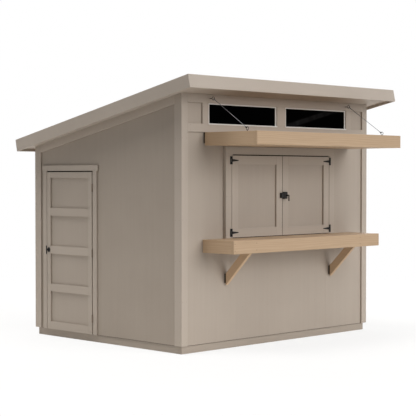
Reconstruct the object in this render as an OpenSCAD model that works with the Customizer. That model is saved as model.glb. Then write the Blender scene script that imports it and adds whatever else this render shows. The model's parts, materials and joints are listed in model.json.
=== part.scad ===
// Bar shed: a ten by eight foot timber shed with a mono-pitch roof, a serving
// hatch under an awning, a bar counter on two braces and a side door.
// The origin is the centre of the base's underside. The serving front faces -Y.

/* [Building] */
// Width over the wall framing, along the serving front
frame_w = 3048; // [2600:1:3700]
// Depth over the wall framing, from front to back
frame_l = 2438; // [2030:1:2930]
// Height of the rafter seat at the front framing face
front_h = 2734; // [2600:1:3300]

/* [Roof] */
// Roof rise for every 12 of run
roof_rise = 2.5; // [1.5:0.5:4]
// Front overhang, along the slope, from the framing to the fascia's face
front_eave = 328; // [200:1:450]
// Back overhang, along the slope, from the framing to the fascia's face
back_eave = 168; // [100:1:300]
// Side overhang from the framing to the fascia's face
rake_eave = 197; // [120:1:300]
// Depth of a rafter
rafter_h = 89; // [80:1:140]
// Thickness of the roof deck
deck_t = 11; // [9:1:19]
// Height of the fascia boards
fascia_h = 140; // [130:1:184]
// Thickness of the roofing sheet
roofing_t = 3; // [2:1:8]
// How far the roofing sheet's edge stays back from the fascias' faces
roofing_back = 12; // [3:1:15]

/* [Siding and trim] */
// Thickness of the siding panels
siding_t = 9.5; // [8:0.5:16]
// Thickness of the trim boards
trim_t = 19; // [16:1:25]
// Width of the corner, frieze, band and window boards
trim_w = 89; // [70:1:110]
// Thickness of the soffit panels
soffit_t = 9.5; // [6:0.5:12]
// Gap between two siding panels
panel_gap = 1.5; // [0.5:0.5:3]

/* [Framing] */
// Thickness of framing lumber
stud_t = 38; // [35:1:45]
// Width of the wall studs
stud_w = 89; // [70:1:140]
// Height of the boards round the base and of the floor joists
skirt_h = 89; // [80:1:140]
// How far the siding laps down over the base boards
skirt_lap = 5; // [3:1:20]
// Largest spacing of studs and rafters
stud_pitch = 610; // [400:1:620]
// Largest spacing of floor joists
joist_pitch = 305; // [280:1:340]
// Thickness of the floor
floor_t = 18; // [15:1:22]

/* [Side door] */
// Width between the door casings
door_open_w = 839; // [760:1:920]
// Distance from the back framing face to the door opening
door_from_back = 190; // [170:1:260]
// Height of the door leaf
door_leaf_h = 1825; // [1700:1:1850]
// Gap between the door leaf and its casing
door_gap = 14; // [12:1:18]
// How far the door leaf laps over the framed opening
door_lap = 14; // [8:1:25]
// Width of the casing, the stiles and the top rail of the door
door_stile_w = 64; // [50:1:75]
// Width of the other door rails
door_rail_w = 89; // [60:1:100]
// How far the head casing runs past the side casings
casing_ear = 19; // [0:1:40]
// Number of recessed door panels
door_panels = 4; // [2:1:5]
// Height of the door handle above the ground
door_handle_z = 1007; // [900:1:1100]

/* [Serving hatch] */
// Width between the hatch casings
hatch_open_w = 1645; // [1200:1:1800]
// Thickness of the hatch casing
hatch_casing_t = 38; // [30:1:45]
// Gap between a hatch leaf and its casing
hatch_gap = 5; // [5:0.5:8]
// Gap between a hatch leaf and the head casing
hatch_head_gap = 8; // [5:0.5:12]
// Gap between the two hatch leaves
meeting_gap = 6; // [6:0.5:10]
// How far a hatch leaf laps over the framed opening
hatch_lap = 15; // [8:1:25]
// Width of the stiles and rails of a hatch leaf
hatch_stile_w = 97; // [60:1:120]
// Thickness of the sheet behind the hatch and door frames
leaf_sheet_t = 9.5; // [6:0.5:12]

/* [Windows] */
// Height of the window row, from the band board to the frieze
window_h = 220; // [150:1:260]
// Width of the board between the two windows
mullion_w = 140; // [90:1:184]
// Width of the plain panel between a corner board and a window board
end_panel_w = 220; // [120:1:260]
// Width of a window frame's sides
window_side_w = 20; // [16:1:40]
// Width of a window frame's head
window_head_w = 12.5; // [10:0.5:30]
// How far the window frames stand proud of the siding
window_proud = 8; // [6:1:15]
// Thickness of the glass
glass_t = 4; // [3:1:6]

/* [Awning] */
// Length of the awning
awning_l = 2424; // [2150:1:2500]
// Reach of the awning from the siding
awning_d = 773; // [600:1:850]
// Height of the awning and counter boards
box_h = 140; // [120:1:160]
// Gap between the band board and the awning
awning_top_gap = 2; // [2:1:20]
// How far the awning and brace feet stand off the siding
stand_off = 19; // [10:1:30]

/* [Counter] */
// Length of the counter
counter_l = 2450; // [2150:1:2500]
// Reach of the counter from the siding
counter_d = 457; // [380:1:520]
// Height of the counter's top
counter_z = 1192; // [1000:1:1250]
// Gap between the counter's top and the hatch leaves
counter_gap = 7; // [6:1:12]
// Distance from the middle of the counter to a brace's outer face
brace_x = 895; // [700:1:1000]
// Width of a brace
brace_w = 89; // [70:1:110]
// Height of a brace's lowest point
brace_foot_z = 690; // [640:1:780]

/* [Hardware] */
// Distance from an awning end to its cable
cable_inset = 76; // [50:1:150]
// Distance from the siding to the lower cable eye
cable_reach = 565; // [400:1:600]
// Diameter of the cable
cable_d = 6; // [4:1:8]
// Outer radius of a screw eye
eye_r = 20; // [15:1:25]
// Distance from the frieze's face to an upper eye's centre
wall_eye_out = 50; // [40:1:60]
// Height of a lower eye's centre above the awning
awning_eye_up = 30; // [26:1:40]
// Height of a hinge
hinge_h = 87; // [70:1:100]
// Reach of a hatch hinge's strap from its pin
strap_l = 104; // [80:1:140]
// Distance from the top or bottom of a hatch leaf to its hinge
hatch_hinge_in = 53; // [48:1:120]

/* [Hidden] */
$fn = 48;

// Fits
joint_gap = 0.4;          // boards that butt in one node
bed_gap = 0.05;           // boards that seat on the roof's slope
slack = 0.3;              // between loosely seated steel
swing_gap = 5;            // behind a closed leaf
bore_gap = 0.06;          // round a pin or spindle

// Building
hw = frame_w / 2;
hl = frame_l / 2;
siding_x = hw + siding_t;
siding_y = hl + siding_t;
face_x = siding_x + trim_t;
face_y = siding_y + trim_t;
siding_z = skirt_h - skirt_lap;
floor_z = skirt_h + floor_t;
slope = roof_rise / 12;
roof_angle = atan(slope);
soffit_drop = soffit_t / cos(roof_angle);

function roof_z(y) = front_h - slope * (y + hl);
function soffit_z(y) = roof_z(y) - soffit_drop;
function bays(length, pitch) = ceil(length / pitch);

// Roof, measured along the slope from the front framing face
back_s = frame_l / cos(roof_angle) + back_eave;
deck_n = rafter_h + deck_t;
rake_x = hw + rake_eave;

// Front wall, from the roof down
frieze_z = soffit_z(-siding_y) - trim_w;
band_top = frieze_z - window_h;
band_z = band_top - trim_w;
awning_top = band_z - awning_top_gap;
awning_z = awning_top - box_h;
inner_face_x = face_x - trim_w;
window_edge = inner_face_x - end_panel_w - trim_w;
mullion_edge = mullion_w / 2;
window_rebate = 6;
window_depth = 50;
sill_rise = 4.5;
sill_drop = 8;
sill_nose = 4;

// Serving hatch
hatch_edge = hatch_open_w / 2;
casing_edge = hatch_edge + trim_w;
hatch_face_y = siding_y + hatch_casing_t;
leaf_z = counter_z + counter_gap;
head_gap = 3;
head_casing_z = awning_z - head_gap - trim_w;
leaf_top = head_casing_z - hatch_head_gap;
leaf_h = leaf_top - leaf_z;
leaf_w = (hatch_open_w - 2 * hatch_gap - meeting_gap) / 2;
leaf_t = leaf_sheet_t + trim_t;
hatch_hole_x = hatch_edge - hatch_gap - hatch_lap;
hatch_hole_z = leaf_z + hatch_lap;
hatch_hole_top = leaf_top - hatch_lap;

// Hinges
knuckle_r = 5;
pin_r = 2.5;
plate_t = 2.5;
neck = 6.5;
knuckle_gap = 0.5;
hatch_pin_x = hatch_edge - hatch_gap / 2;
hatch_pin_y = hatch_face_y + knuckle_r + joint_gap;

// Side door
door_y1 = hl - door_from_back;
door_y0 = door_y1 - door_open_w;
door_leaf_y0 = door_y0 + door_gap;
door_leaf_w = door_open_w - 2 * door_gap;
door_leaf_x = hw + swing_gap;
door_face_x = door_leaf_x + leaf_t;
door_top = siding_z + door_leaf_h;
door_casing_z = door_top + door_gap;
door_hole_y0 = door_leaf_y0 + door_lap;
door_hole_y1 = door_leaf_y0 + door_leaf_w - door_lap;
door_hole_top = door_top - door_lap;
door_pin_x = door_face_x + knuckle_r + joint_gap;
door_pin_y = door_y0 + door_gap / 2;
door_handle_y = door_leaf_y0 + door_leaf_w - door_stile_w / 2;

// Colours
paint = "#a59a8b";
paint_side = "#9a8f81";
raw_pine = "#c9a778";
deck_wood = "#bb9a74";
counter_wood = "#c4a380";
black_steel = "#1c1b1a";
cable_steel = "#8b8d8f";

// A box from its low corner to its high corner
module block(low, high) {
    translate(low) cube(high - low);
}

// The same thing on both sides of the middle
module both_sides() {
    children();
    mirror([1, 0, 0]) children();
}

// An upright board along X whose top follows the roof, drop below the rafters
module under_roof(x0, x1, y0, y1, z0, drop = bed_gap) {
    translate([x0, 0, 0])
        rotate([90, 0, 90])
            linear_extrude(x1 - x0)
                polygon([
                    [y0, z0], [y1, z0],
                    [y1, roof_z(y1) - drop], [y0, roof_z(y0) - drop]
                ]);
}

// A board that follows the roof, its top drop below the rafters
module raked_board(x0, x1, y0, y1, drop, h) {
    rise = h / cos(roof_angle);
    translate([x0, 0, 0])
        rotate([90, 0, 90])
            linear_extrude(x1 - x0)
                polygon([
                    [y0, roof_z(y0) - drop - rise], [y1, roof_z(y1) - drop - rise],
                    [y1, roof_z(y1) - drop], [y0, roof_z(y0) - drop]
                ]);
}

// Things laid out on the slope: Y runs down the roof, Z is square to it
module on_roof() {
    translate([0, -hl, front_h]) rotate([-roof_angle, 0, 0]) children();
}

// Boards evenly spaced along X
module along_x(x0, x1, pitch, first = 0, last = 0) {
    n = bays(x1 - x0, pitch);
    for (i = [first : n - last]) translate([x0 + i * (x1 - x0) / n, 0, 0]) children();
}

// Boards round the base, seen below the siding
module base_skirt() {
    color(paint) {
        block([-hw, -hl, 0], [hw, -hl + stud_t, skirt_h]);
        block([-hw, hl - stud_t, 0], [hw, hl, skirt_h]);
        both_sides()
            block([hw - stud_t, -hl + stud_t + joint_gap, 0],
                  [hw, hl - stud_t - joint_gap, skirt_h]);
    }
}

// Joists between the front and back base boards
module floor_joists() {
    end_x = hw - stud_t / 2;
    color(raw_pine)
        along_x(-end_x, end_x, joist_pitch, 1, 1)
            block([-stud_t / 2, -hl + stud_t + joint_gap, 0],
                  [stud_t / 2, hl - stud_t - joint_gap, skirt_h]);
}

// Floor sheets
module floor_deck() {
    color(deck_wood) block([-hw, -hl, skirt_h], [hw, hl, floor_z]);
}

// An upright stud standing at x, between two heights
module front_stud(x, z0, z1) {
    block([x, -hl, z0], [x + stud_t, -hl + stud_w, z1]);
}

// Front wall framing, with the window row over the hatch
module front_wall_frame() {
    sole = floor_z + stud_t;
    plate = roof_z(-hl + stud_w) - stud_t;
    sill = band_top - stud_t;
    hatch_sill = hatch_hole_z - stud_t;
    header = hatch_hole_top + brace_w;
    color(raw_pine) {
        block([-hw, -hl, floor_z], [hw, -hl + stud_w, sole]);
        under_roof(-hw, hw, -hl, -hl + stud_w, plate);
        both_sides() {
            front_stud(hw - stud_t, sole + joint_gap, plate - joint_gap);
            front_stud(window_edge + joint_gap, sole + joint_gap, plate - joint_gap);
            front_stud(hatch_hole_x, sole + joint_gap, sill - joint_gap);
            front_stud(mullion_edge - stud_t, band_top + joint_gap, plate - joint_gap);
            block([mullion_edge + joint_gap, -hl, frieze_z],
                  [window_edge, -hl + stud_w, plate - joint_gap]);
        }
        block([-window_edge, -hl, sill], [window_edge, -hl + stud_w, band_top]);
        block([-hatch_hole_x + joint_gap, -hl, hatch_sill],
              [hatch_hole_x - joint_gap, -hl + stud_w, hatch_hole_z]);
        block([-hatch_hole_x + joint_gap, -hl, hatch_hole_top],
              [hatch_hole_x - joint_gap, -hl + stud_w, header]);
        along_x(-hatch_hole_x, hatch_hole_x, stud_pitch, 1, 1) {
            front_stud(-stud_t / 2, sole + joint_gap, hatch_sill - joint_gap);
            front_stud(-stud_t / 2, header + joint_gap, sill - joint_gap);
        }
    }
}

// Back wall framing
module back_wall_frame() {
    sole = floor_z + stud_t;
    plate = roof_z(hl) - stud_t;
    end_x = hw - stud_t / 2;
    color(raw_pine) {
        block([-hw, hl - stud_w, floor_z], [hw, hl, sole]);
        under_roof(-hw, hw, hl - stud_w, hl, plate);
        along_x(-end_x, end_x, stud_pitch)
            block([-stud_t / 2, hl - stud_w, sole + joint_gap],
                  [stud_t / 2, hl, plate - joint_gap]);
    }
}

// A stud of a side wall, its top cut to the slope under the plate
module side_stud(y, z0) {
    under_roof(hw - stud_w, hw, y, y + stud_t, z0, stud_t / cos(roof_angle) + joint_gap);
}

// Side studs evenly spaced between two studs that start at y0 and y1
module side_studs(y0, y1, first = 0, last = 0) {
    n = bays(y1 - y0, stud_pitch);
    for (i = [first : n - last]) side_stud(y0 + i * (y1 - y0) / n, floor_z + stud_t + joint_gap);
}

// Right wall framing
module right_wall_frame() {
    y0 = -hl + stud_w + joint_gap;
    y1 = hl - stud_w - joint_gap;
    color(raw_pine) {
        block([hw - stud_w, y0, floor_z], [hw, y1, floor_z + stud_t]);
        raked_board(hw - stud_w, hw, y0, y1, bed_gap, stud_t);
        side_studs(y0, y1 - stud_t);
    }
}

// Left wall framing, with the doorway
module left_wall_frame() {
    y0 = -hl + stud_w + joint_gap;
    y1 = hl - stud_w - joint_gap;
    sole = floor_z + stud_t;
    header = door_hole_top + brace_w;
    color(raw_pine)
        mirror([1, 0, 0]) {
            block([hw - stud_w, y0, floor_z], [hw, door_hole_y0, sole]);
            block([hw - stud_w, door_hole_y1, floor_z], [hw, y1, sole]);
            raked_board(hw - stud_w, hw, y0, y1, bed_gap, stud_t);
            side_studs(y0, door_hole_y0 - stud_t);
            side_stud(door_hole_y1, sole + joint_gap);
            side_stud(y1 - stud_t, sole + joint_gap);
            block([hw - stud_w, door_hole_y0 + joint_gap, door_hole_top],
                  [hw, door_hole_y1 - joint_gap, header]);
            side_stud((door_hole_y0 + door_hole_y1 - stud_t) / 2, header + joint_gap);
        }
}

// Front siding, one panel beside, below and over each opening
module front_siding() {
    y0 = -siding_y;
    y1 = -hl;
    split_z = (band_z + band_top) / 2;
    top_z = frieze_z + panel_gap;
    color(paint) {
        both_sides() {
            block([hatch_hole_x, y0, siding_z], [siding_x, y1, split_z - panel_gap]);
            block([window_edge + joint_gap, y0, band_top],
                  [siding_x, y1, frieze_z - joint_gap]);
        }
        block([-hatch_hole_x + panel_gap, y0, siding_z],
              [hatch_hole_x - panel_gap, y1, hatch_hole_z]);
        block([-hatch_hole_x + panel_gap, y0, hatch_hole_top],
              [hatch_hole_x - panel_gap, y1, split_z - panel_gap]);
        block([-siding_x, y0, split_z], [siding_x, y1, band_top - joint_gap]);
        block([-mullion_edge + joint_gap, y0, band_top],
              [mullion_edge - joint_gap, y1, frieze_z - joint_gap]);
        under_roof(-siding_x, siding_x, y0, y1, top_z);
    }
}

// Back siding
module back_siding() {
    color(paint_side) under_roof(-siding_x, siding_x, hl, siding_y, siding_z);
}

// Right siding
module right_siding() {
    color(paint_side) under_roof(hw, siding_x, -hl, hl, siding_z);
}

// Left siding, beside and over the doorway
module left_siding() {
    color(paint_side) {
        under_roof(-siding_x, -hw, -hl, door_y0, siding_z);
        under_roof(-siding_x, -hw, door_y1, hl, siding_z);
        under_roof(-siding_x, -hw, door_y0 + panel_gap, door_y1 - panel_gap, door_casing_z);
    }
}

// Corner boards, those of the front and back walls lapping the side ones
module corner_boards() {
    color(paint)
        both_sides() {
            under_roof(inner_face_x, face_x, -face_y, -siding_y, siding_z, soffit_drop + bed_gap);
            under_roof(inner_face_x, face_x, siding_y, face_y, siding_z, soffit_drop + bed_gap);
            under_roof(siding_x, face_x, -siding_y + joint_gap, -siding_y + trim_w, siding_z,
                       soffit_drop + bed_gap);
            under_roof(siding_x, face_x, siding_y - trim_w, siding_y - joint_gap, siding_z,
                       soffit_drop + bed_gap);
        }
}

// Frieze, band and window boards of the front wall
module front_trim() {
    x1 = inner_face_x - joint_gap;
    color(paint) {
        under_roof(-x1, x1, -face_y, -siding_y, frieze_z, soffit_drop + bed_gap);
        block([-x1, -face_y, band_z], [x1, -siding_y, band_top]);
        both_sides()
            block([window_edge, -face_y, band_top + joint_gap],
                  [window_edge + trim_w, -siding_y, frieze_z - joint_gap]);
        block([-mullion_edge, -face_y, band_top + joint_gap],
              [mullion_edge, -siding_y, frieze_z - joint_gap]);
    }
}

// Frieze boards of the sides and back, under the soffit
module frieze_boards() {
    end_y = siding_y - trim_w - joint_gap;
    back_x = inner_face_x - joint_gap;
    color(paint_side) {
        both_sides() raked_board(siding_x, face_x, -end_y, end_y, soffit_drop + bed_gap, trim_w);
        under_roof(-back_x, back_x, siding_y, face_y, soffit_z(siding_y) - trim_w,
                   soffit_drop + bed_gap);
    }
}

// Rafters over the walls, and one behind each rake fascia
module rafters() {
    end_x = hw - stud_t / 2;
    fly_x = rake_x - trim_t - stud_t / 2;
    s0 = -front_eave + trim_t;
    s1 = back_s - trim_t;
    color(raw_pine)
        on_roof() {
            along_x(-end_x, end_x, stud_pitch)
                block([-stud_t / 2, s0, 0], [stud_t / 2, s1, rafter_h]);
            both_sides()
                block([fly_x - stud_t / 2, s0, 0], [fly_x + stud_t / 2, s1, rafter_h]);
        }
}

// Roof sheets
module roof_deck() {
    x1 = rake_x - trim_t;
    color(deck_wood)
        on_roof()
            block([-x1, -front_eave + trim_t, rafter_h], [x1, back_s - trim_t, deck_n]);
}

// Soffit panels, between the walls and the fascias
module soffits() {
    x1 = rake_x - trim_t;
    front_s = -siding_t / cos(roof_angle) - joint_gap / 2;
    rear_s = (frame_l + siding_t + soffit_t * sin(roof_angle)) / cos(roof_angle) + joint_gap / 2;
    color(paint)
        on_roof() {
            block([-x1, -front_eave + trim_t, -soffit_t], [x1, front_s, -bed_gap]);
            block([-x1, rear_s, -soffit_t], [x1, back_s - trim_t, -bed_gap]);
            both_sides()
                block([siding_x + bed_gap, front_s + joint_gap, -soffit_t],
                      [x1, rear_s - joint_gap, -bed_gap]);
        }
}

// Fascia boards, square to the slope, their tops level with the deck
module fascias() {
    color(paint)
        on_roof() {
            block([-rake_x, -front_eave, deck_n - fascia_h],
                  [rake_x, -front_eave + trim_t, deck_n]);
            block([-rake_x, back_s - trim_t, deck_n - fascia_h], [rake_x, back_s, deck_n]);
            both_sides()
                block([rake_x - trim_t, -front_eave + trim_t + joint_gap, deck_n - fascia_h],
                      [rake_x, back_s - trim_t - joint_gap, deck_n]);
        }
}

// Roofing sheet
module roofing() {
    color("#4a4744")
        on_roof()
            block([-rake_x + roofing_back, -front_eave + roofing_back, deck_n + bed_gap],
                  [rake_x - roofing_back, back_s - roofing_back, deck_n + roofing_t]);
}

// The glass, and the groove for it when grown by fit
module glass_pane(fit = 0) {
    x0 = mullion_edge + window_side_w - window_rebate;
    x1 = window_edge - window_side_w + window_rebate;
    z0 = band_top + sill_rise - 2;
    z1 = frieze_z - window_head_w + window_rebate;
    y1 = -siding_y - window_proud + window_rebate + glass_t + 2;
    block([x0 - fit, y1 - glass_t - fit, z0 - fit], [x1 + fit, y1 + fit, z1 + fit]);
}

// Two fixed window frames with a nosed sill
module window_frames() {
    x0 = mullion_edge + joint_gap;
    x1 = window_edge - joint_gap;
    z0 = band_top + joint_gap;
    z1 = frieze_z - joint_gap;
    y0 = -siding_y - window_proud;
    y1 = y0 + window_depth;
    nose_y = -face_y - sill_nose;
    sill_z = band_top + sill_rise;
    head_z = z1 - window_head_w;
    color("#bdbab4")
        both_sides()
            difference() {
                union() {
                    block([x0, nose_y, z0], [x1, y1, sill_z]);
                    block([x0, nose_y, band_top - sill_drop], [x1, -face_y - joint_gap, sill_z]);
                    block([x0, y0, head_z], [x1, y1, z1]);
                    for (x = [x0, x1 - window_side_w])
                        block([x, y0, sill_z + joint_gap], [x + window_side_w, y1, head_z - joint_gap]);
                }
                glass_pane(slack);
            }
}

// Window panes
module window_glass() {
    color("#101314", 0.8) both_sides() glass_pane();
}

// Casing round the side door, the head with ears
module door_casing() {
    head_y0 = door_y0 - door_stile_w;
    head_y1 = door_y1 + door_stile_w;
    color(paint_side) {
        block([-face_x, head_y0, siding_z], [-siding_x, door_y0, door_casing_z - joint_gap]);
        block([-face_x, door_y1, siding_z], [-siding_x, head_y1, door_casing_z - joint_gap]);
        block([-face_x, head_y0 - casing_ear, door_casing_z],
              [-siding_x, head_y1 + casing_ear, door_casing_z + door_stile_w]);
    }
}

// Sheet of the side door
module door_panel() {
    color(paint_side)
        block([-door_leaf_x - leaf_sheet_t, door_leaf_y0, siding_z],
              [-door_leaf_x, door_leaf_y0 + door_leaf_w, door_top]);
}

// Stiles and rails of the side door
module door_frame() {
    step = (door_leaf_h - door_stile_w) / door_panels;
    rail_w = door_leaf_w - 2 * door_stile_w - 2 * joint_gap;
    color(paint_side)
        translate([-door_face_x, door_leaf_y0, siding_z]) {
            for (y = [0, door_leaf_w - door_stile_w])
                translate([0, y, 0]) cube([trim_t, door_stile_w, door_leaf_h]);
            for (i = [0 : door_panels - 1])
                translate([0, door_stile_w + joint_gap, i * step])
                    cube([trim_t, rail_w, door_rail_w]);
            translate([0, door_stile_w + joint_gap, door_leaf_h - door_stile_w])
                cube([trim_t, rail_w, door_stile_w]);
        }
}

// Heights of the three door hinges
function door_hinge_z() = [
    siding_z + 2 * door_rail_w,
    siding_z + door_leaf_h / 2,
    door_top - 2 * door_rail_w
];

// Fixed plates, knuckles and pins of the door hinges
module door_hinge_plates() {
    third = hinge_h / 3;
    plate_in = door_pin_x - siding_x;
    color(paint_side)
        for (z = door_hinge_z())
            translate([-door_pin_x, door_pin_y, z]) {
                cylinder(h = third, r = knuckle_r, center = true);
                cylinder(h = hinge_h, r = pin_r, center = true);
                block([neck, -door_gap / 2, -hinge_h / 2],
                      [plate_in, -door_gap / 2 + plate_t, hinge_h / 2]);
                block([0, -door_gap / 2, -third / 2],
                      [neck, -knuckle_r + 1, third / 2]);
            }
}

// Moving plates and knuckles of the door hinges
module door_hinge_leaves() {
    third = hinge_h / 3;
    plate_in = door_pin_x - door_leaf_x;
    color(paint_side)
        for (z = door_hinge_z())
            translate([-door_pin_x, door_pin_y, z])
                difference() {
                    union() {
                        block([neck, door_gap / 2 - plate_t, -hinge_h / 2],
                              [plate_in, door_gap / 2, hinge_h / 2]);
                        for (side = [-1, 1])
                            translate([0, 0, side * (third + knuckle_gap)]) {
                                cylinder(h = third - 2 * knuckle_gap, r = knuckle_r, center = true);
                                block([0, knuckle_r - 1, -third / 2 + knuckle_gap],
                                      [neck, door_gap / 2, third / 2 - knuckle_gap]);
                            }
                    }
                    cylinder(h = 2 * hinge_h, r = pin_r + bore_gap, center = true);
                }
}

// Round rose behind the door handle
rose_r = 27;
rose_t = 8;
stem_r = 7;
handle_out = 34;
handle_l = 100;
module door_rose() {
    color(black_steel)
        translate([-door_face_x, door_handle_y, door_handle_z])
            rotate([0, -90, 0])
                difference() {
                    union() {
                        cylinder(h = rose_t / 2, r = rose_r);
                        translate([0, 0, rose_t / 2]) cylinder(h = rose_t / 2, r1 = rose_r, r2 = rose_r - 6);
                    }
                    translate([0, 0, 2]) cylinder(h = rose_t, r = stem_r + bore_gap);
                }
}

// Turning T handle of the side door
module door_handle() {
    bar_r = 6.5;
    color(black_steel)
        translate([-door_face_x, door_handle_y, door_handle_z])
            rotate([0, -90, 0]) {
                translate([0, 0, 2 + slack]) cylinder(h = handle_out - 2, r = stem_r);
                translate([-handle_l / 2 + bar_r, 0, handle_out])
                    rotate([0, 90, 0]) cylinder(h = handle_l - 2 * bar_r, r = bar_r);
                for (side = [-1, 1])
                    translate([side * (handle_l / 2 - bar_r), 0, handle_out]) sphere(r = bar_r);
            }
}

// Casing beside and over the serving hatch
module hatch_casing() {
    color(paint) {
        both_sides()
            block([hatch_edge, -hatch_face_y, counter_z + joint_gap],
                  [casing_edge, -siding_y, head_casing_z - joint_gap]);
        block([-casing_edge, -hatch_face_y, head_casing_z],
              [casing_edge, -siding_y, awning_z - head_gap]);
    }
}

// Sheet of the right hatch leaf
module leaf_sheet() {
    block([meeting_gap / 2, -hatch_face_y + trim_t, leaf_z],
          [meeting_gap / 2 + leaf_w, -hatch_face_y + leaf_t, leaf_top]);
}

// Stiles and rails of the right hatch leaf
module leaf_frame() {
    translate([meeting_gap / 2, -hatch_face_y, leaf_z]) {
        for (x = [0, leaf_w - hatch_stile_w])
            translate([x, 0, 0]) cube([hatch_stile_w, trim_t, leaf_h]);
        for (z = [0, leaf_h - hatch_stile_w])
            translate([hatch_stile_w + joint_gap, 0, z])
                cube([leaf_w - 2 * hatch_stile_w - 2 * joint_gap, trim_t, hatch_stile_w]);
    }
}

module hatch_left_panel() {
    color(paint) mirror([1, 0, 0]) leaf_sheet();
}

module hatch_left_frame() {
    color(paint) mirror([1, 0, 0]) leaf_frame();
}

module hatch_right_panel() {
    color(paint) leaf_sheet();
}

module hatch_right_frame() {
    color(paint) leaf_frame();
}

// Heights of the two hinges on each hatch leaf
function hatch_hinge_z() = [leaf_z + hatch_hinge_in, leaf_top - hatch_hinge_in];
strap_z = 34;

// Fixed plates, outer knuckles and pins of the hatch hinges
module hatch_hinge_plates() {
    plate_w = 28;
    knuckle_h = (hinge_h - strap_z) / 2 - knuckle_gap;
    color(black_steel)
        both_sides()
            for (z = hatch_hinge_z())
                translate([hatch_pin_x, -hatch_pin_y, z]) {
                    cylinder(h = hinge_h, r = pin_r, center = true);
                    block([neck, knuckle_r + joint_gap - plate_t, -hinge_h / 2],
                          [plate_w, knuckle_r + joint_gap, hinge_h / 2]);
                    for (side = [-1, 1])
                        translate([0, 0, side * (hinge_h - knuckle_h) / 2]) {
                            cylinder(h = knuckle_h, r = knuckle_r, center = true);
                            block([0, knuckle_r - plate_t, -knuckle_h / 2],
                                  [neck, knuckle_r + joint_gap, knuckle_h / 2]);
                        }
                }
}

// A tapered hinge strap with its knuckle, on the right leaf
module hinge_strap() {
    tip_r = 5;
    root_h = strap_z - 4;
    difference() {
        union() {
            cylinder(h = strap_z, r = knuckle_r, center = true);
            block([-neck, knuckle_r - plate_t, -root_h / 2],
                  [0, knuckle_r + joint_gap, root_h / 2]);
            translate([0, knuckle_r + joint_gap, 0])
                rotate([90, 0, 0])
                    linear_extrude(plate_t) {
                        polygon([
                            [-neck + 1, -root_h / 2], [-neck + 1, root_h / 2],
                            [-strap_l + tip_r, tip_r], [-strap_l + tip_r, -tip_r]
                        ]);
                        translate([-strap_l + tip_r, 0]) circle(tip_r);
                    }
        }
        cylinder(h = hinge_h, r = pin_r + bore_gap, center = true);
    }
}

// Hinge straps on the right leaf's pins
module leaf_straps() {
    for (z = hatch_hinge_z()) translate([hatch_pin_x, -hatch_pin_y, z]) hinge_strap();
}

// Latch on the meeting stiles
latch_z = 1647;
latch_w = 57;
latch_h = 78;
latch_t = 24;
keeper_w = 38;
keeper_h = 59;
lever_x = 38;
lever_r = 7;
lever_out = 63;
lever_drop = 64;

// A latch plate with round corners, standing on the leaf's face
module latch_case(x, w, h, t, r) {
    translate([x, -hatch_face_y, latch_z])
        rotate([90, 0, 0])
            linear_extrude(t) {
                translate([0, -h / 2 + r]) square([w, h - 2 * r]);
                translate([r, -h / 2]) square([w - 2 * r, h]);
                for (cx = [r, w - r], cz = [-h / 2 + r, h / 2 - r]) translate([cx, cz]) circle(r);
            }
}

// Straps and keeper of the left leaf
module hatch_left_hardware() {
    color(black_steel) {
        mirror([1, 0, 0]) leaf_straps();
        latch_case(-meeting_gap / 2 - keeper_w, keeper_w, keeper_h, latch_t, 4);
    }
}

// Straps and latch case of the right leaf
module hatch_right_hardware() {
    color(black_steel) {
        leaf_straps();
        difference() {
            latch_case(meeting_gap / 2, latch_w, latch_h, latch_t, 5);
            translate([lever_x, -hatch_face_y - latch_t + 12, latch_z])
                rotate([90, 0, 0]) cylinder(h = latch_t, r = lever_r + bore_gap);
        }
    }
}

// Turning lever of the latch, its grip hanging at rest
module latch_lever() {
    color(black_steel)
        translate([lever_x, -hatch_face_y, latch_z]) {
            rotate([90, 0, 0])
                translate([0, 0, latch_t - 12 + slack])
                    cylinder(h = lever_out - latch_t + 12 - slack, r = lever_r);
            translate([0, -lever_out, -lever_drop + lever_r])
                cylinder(h = lever_drop - lever_r, r = lever_r);
            for (z = [0, -lever_drop + lever_r]) translate([0, -lever_out, z]) sphere(r = lever_r);
        }
}

// A box frame of boards on edge, with cross boards at the given places
module box_frame(half_l, y_back, y_front, z0, z1, cross) {
    block([-half_l, y_front, z0], [half_l, y_front + stud_t, z1]);
    both_sides()
        block([half_l - stud_t, y_front + stud_t + joint_gap, z0], [half_l, y_back, z1]);
    block([-half_l + stud_t + joint_gap, y_back - stud_t, z0],
          [half_l - stud_t - joint_gap, y_back, z1]);
    for (x = cross)
        block([x - stud_t / 2, y_front + stud_t + joint_gap, z0 + box_sheet_t],
              [x + stud_t / 2, y_back - stud_t - joint_gap, z1 - box_sheet_t]);
}
box_sheet_t = 16;

// Boards laid inside a box frame, flush with its top or bottom
module box_boards(half_l, y_back, y_front, z0, count) {
    x1 = half_l - stud_t - joint_gap;
    y0 = y_front + stud_t + joint_gap;
    y1 = y_back - stud_t - joint_gap;
    w = (y1 - y0 + panel_gap) / count;
    for (i = [0 : count - 1])
        block([-x1, y0 + i * w, z0], [x1, y0 + (i + 1) * w - panel_gap, z0 + box_sheet_t]);
}

awning_back = -siding_y - stand_off;
awning_front = -siding_y - awning_d;
counter_front = -siding_y - counter_d;
brace_mid = brace_x - stud_t / 2;

// Awning frame
module awning_frame() {
    color(counter_wood)
        box_frame(awning_l / 2, awning_back, awning_front, awning_z, awning_top, [0]);
}

// Awning boards, over and under the cross boards
module awning_boards() {
    color(counter_wood)
        for (z = [awning_z, awning_top - box_sheet_t])
            box_boards(awning_l / 2, awning_back, awning_front, z, 5);
}

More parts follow.
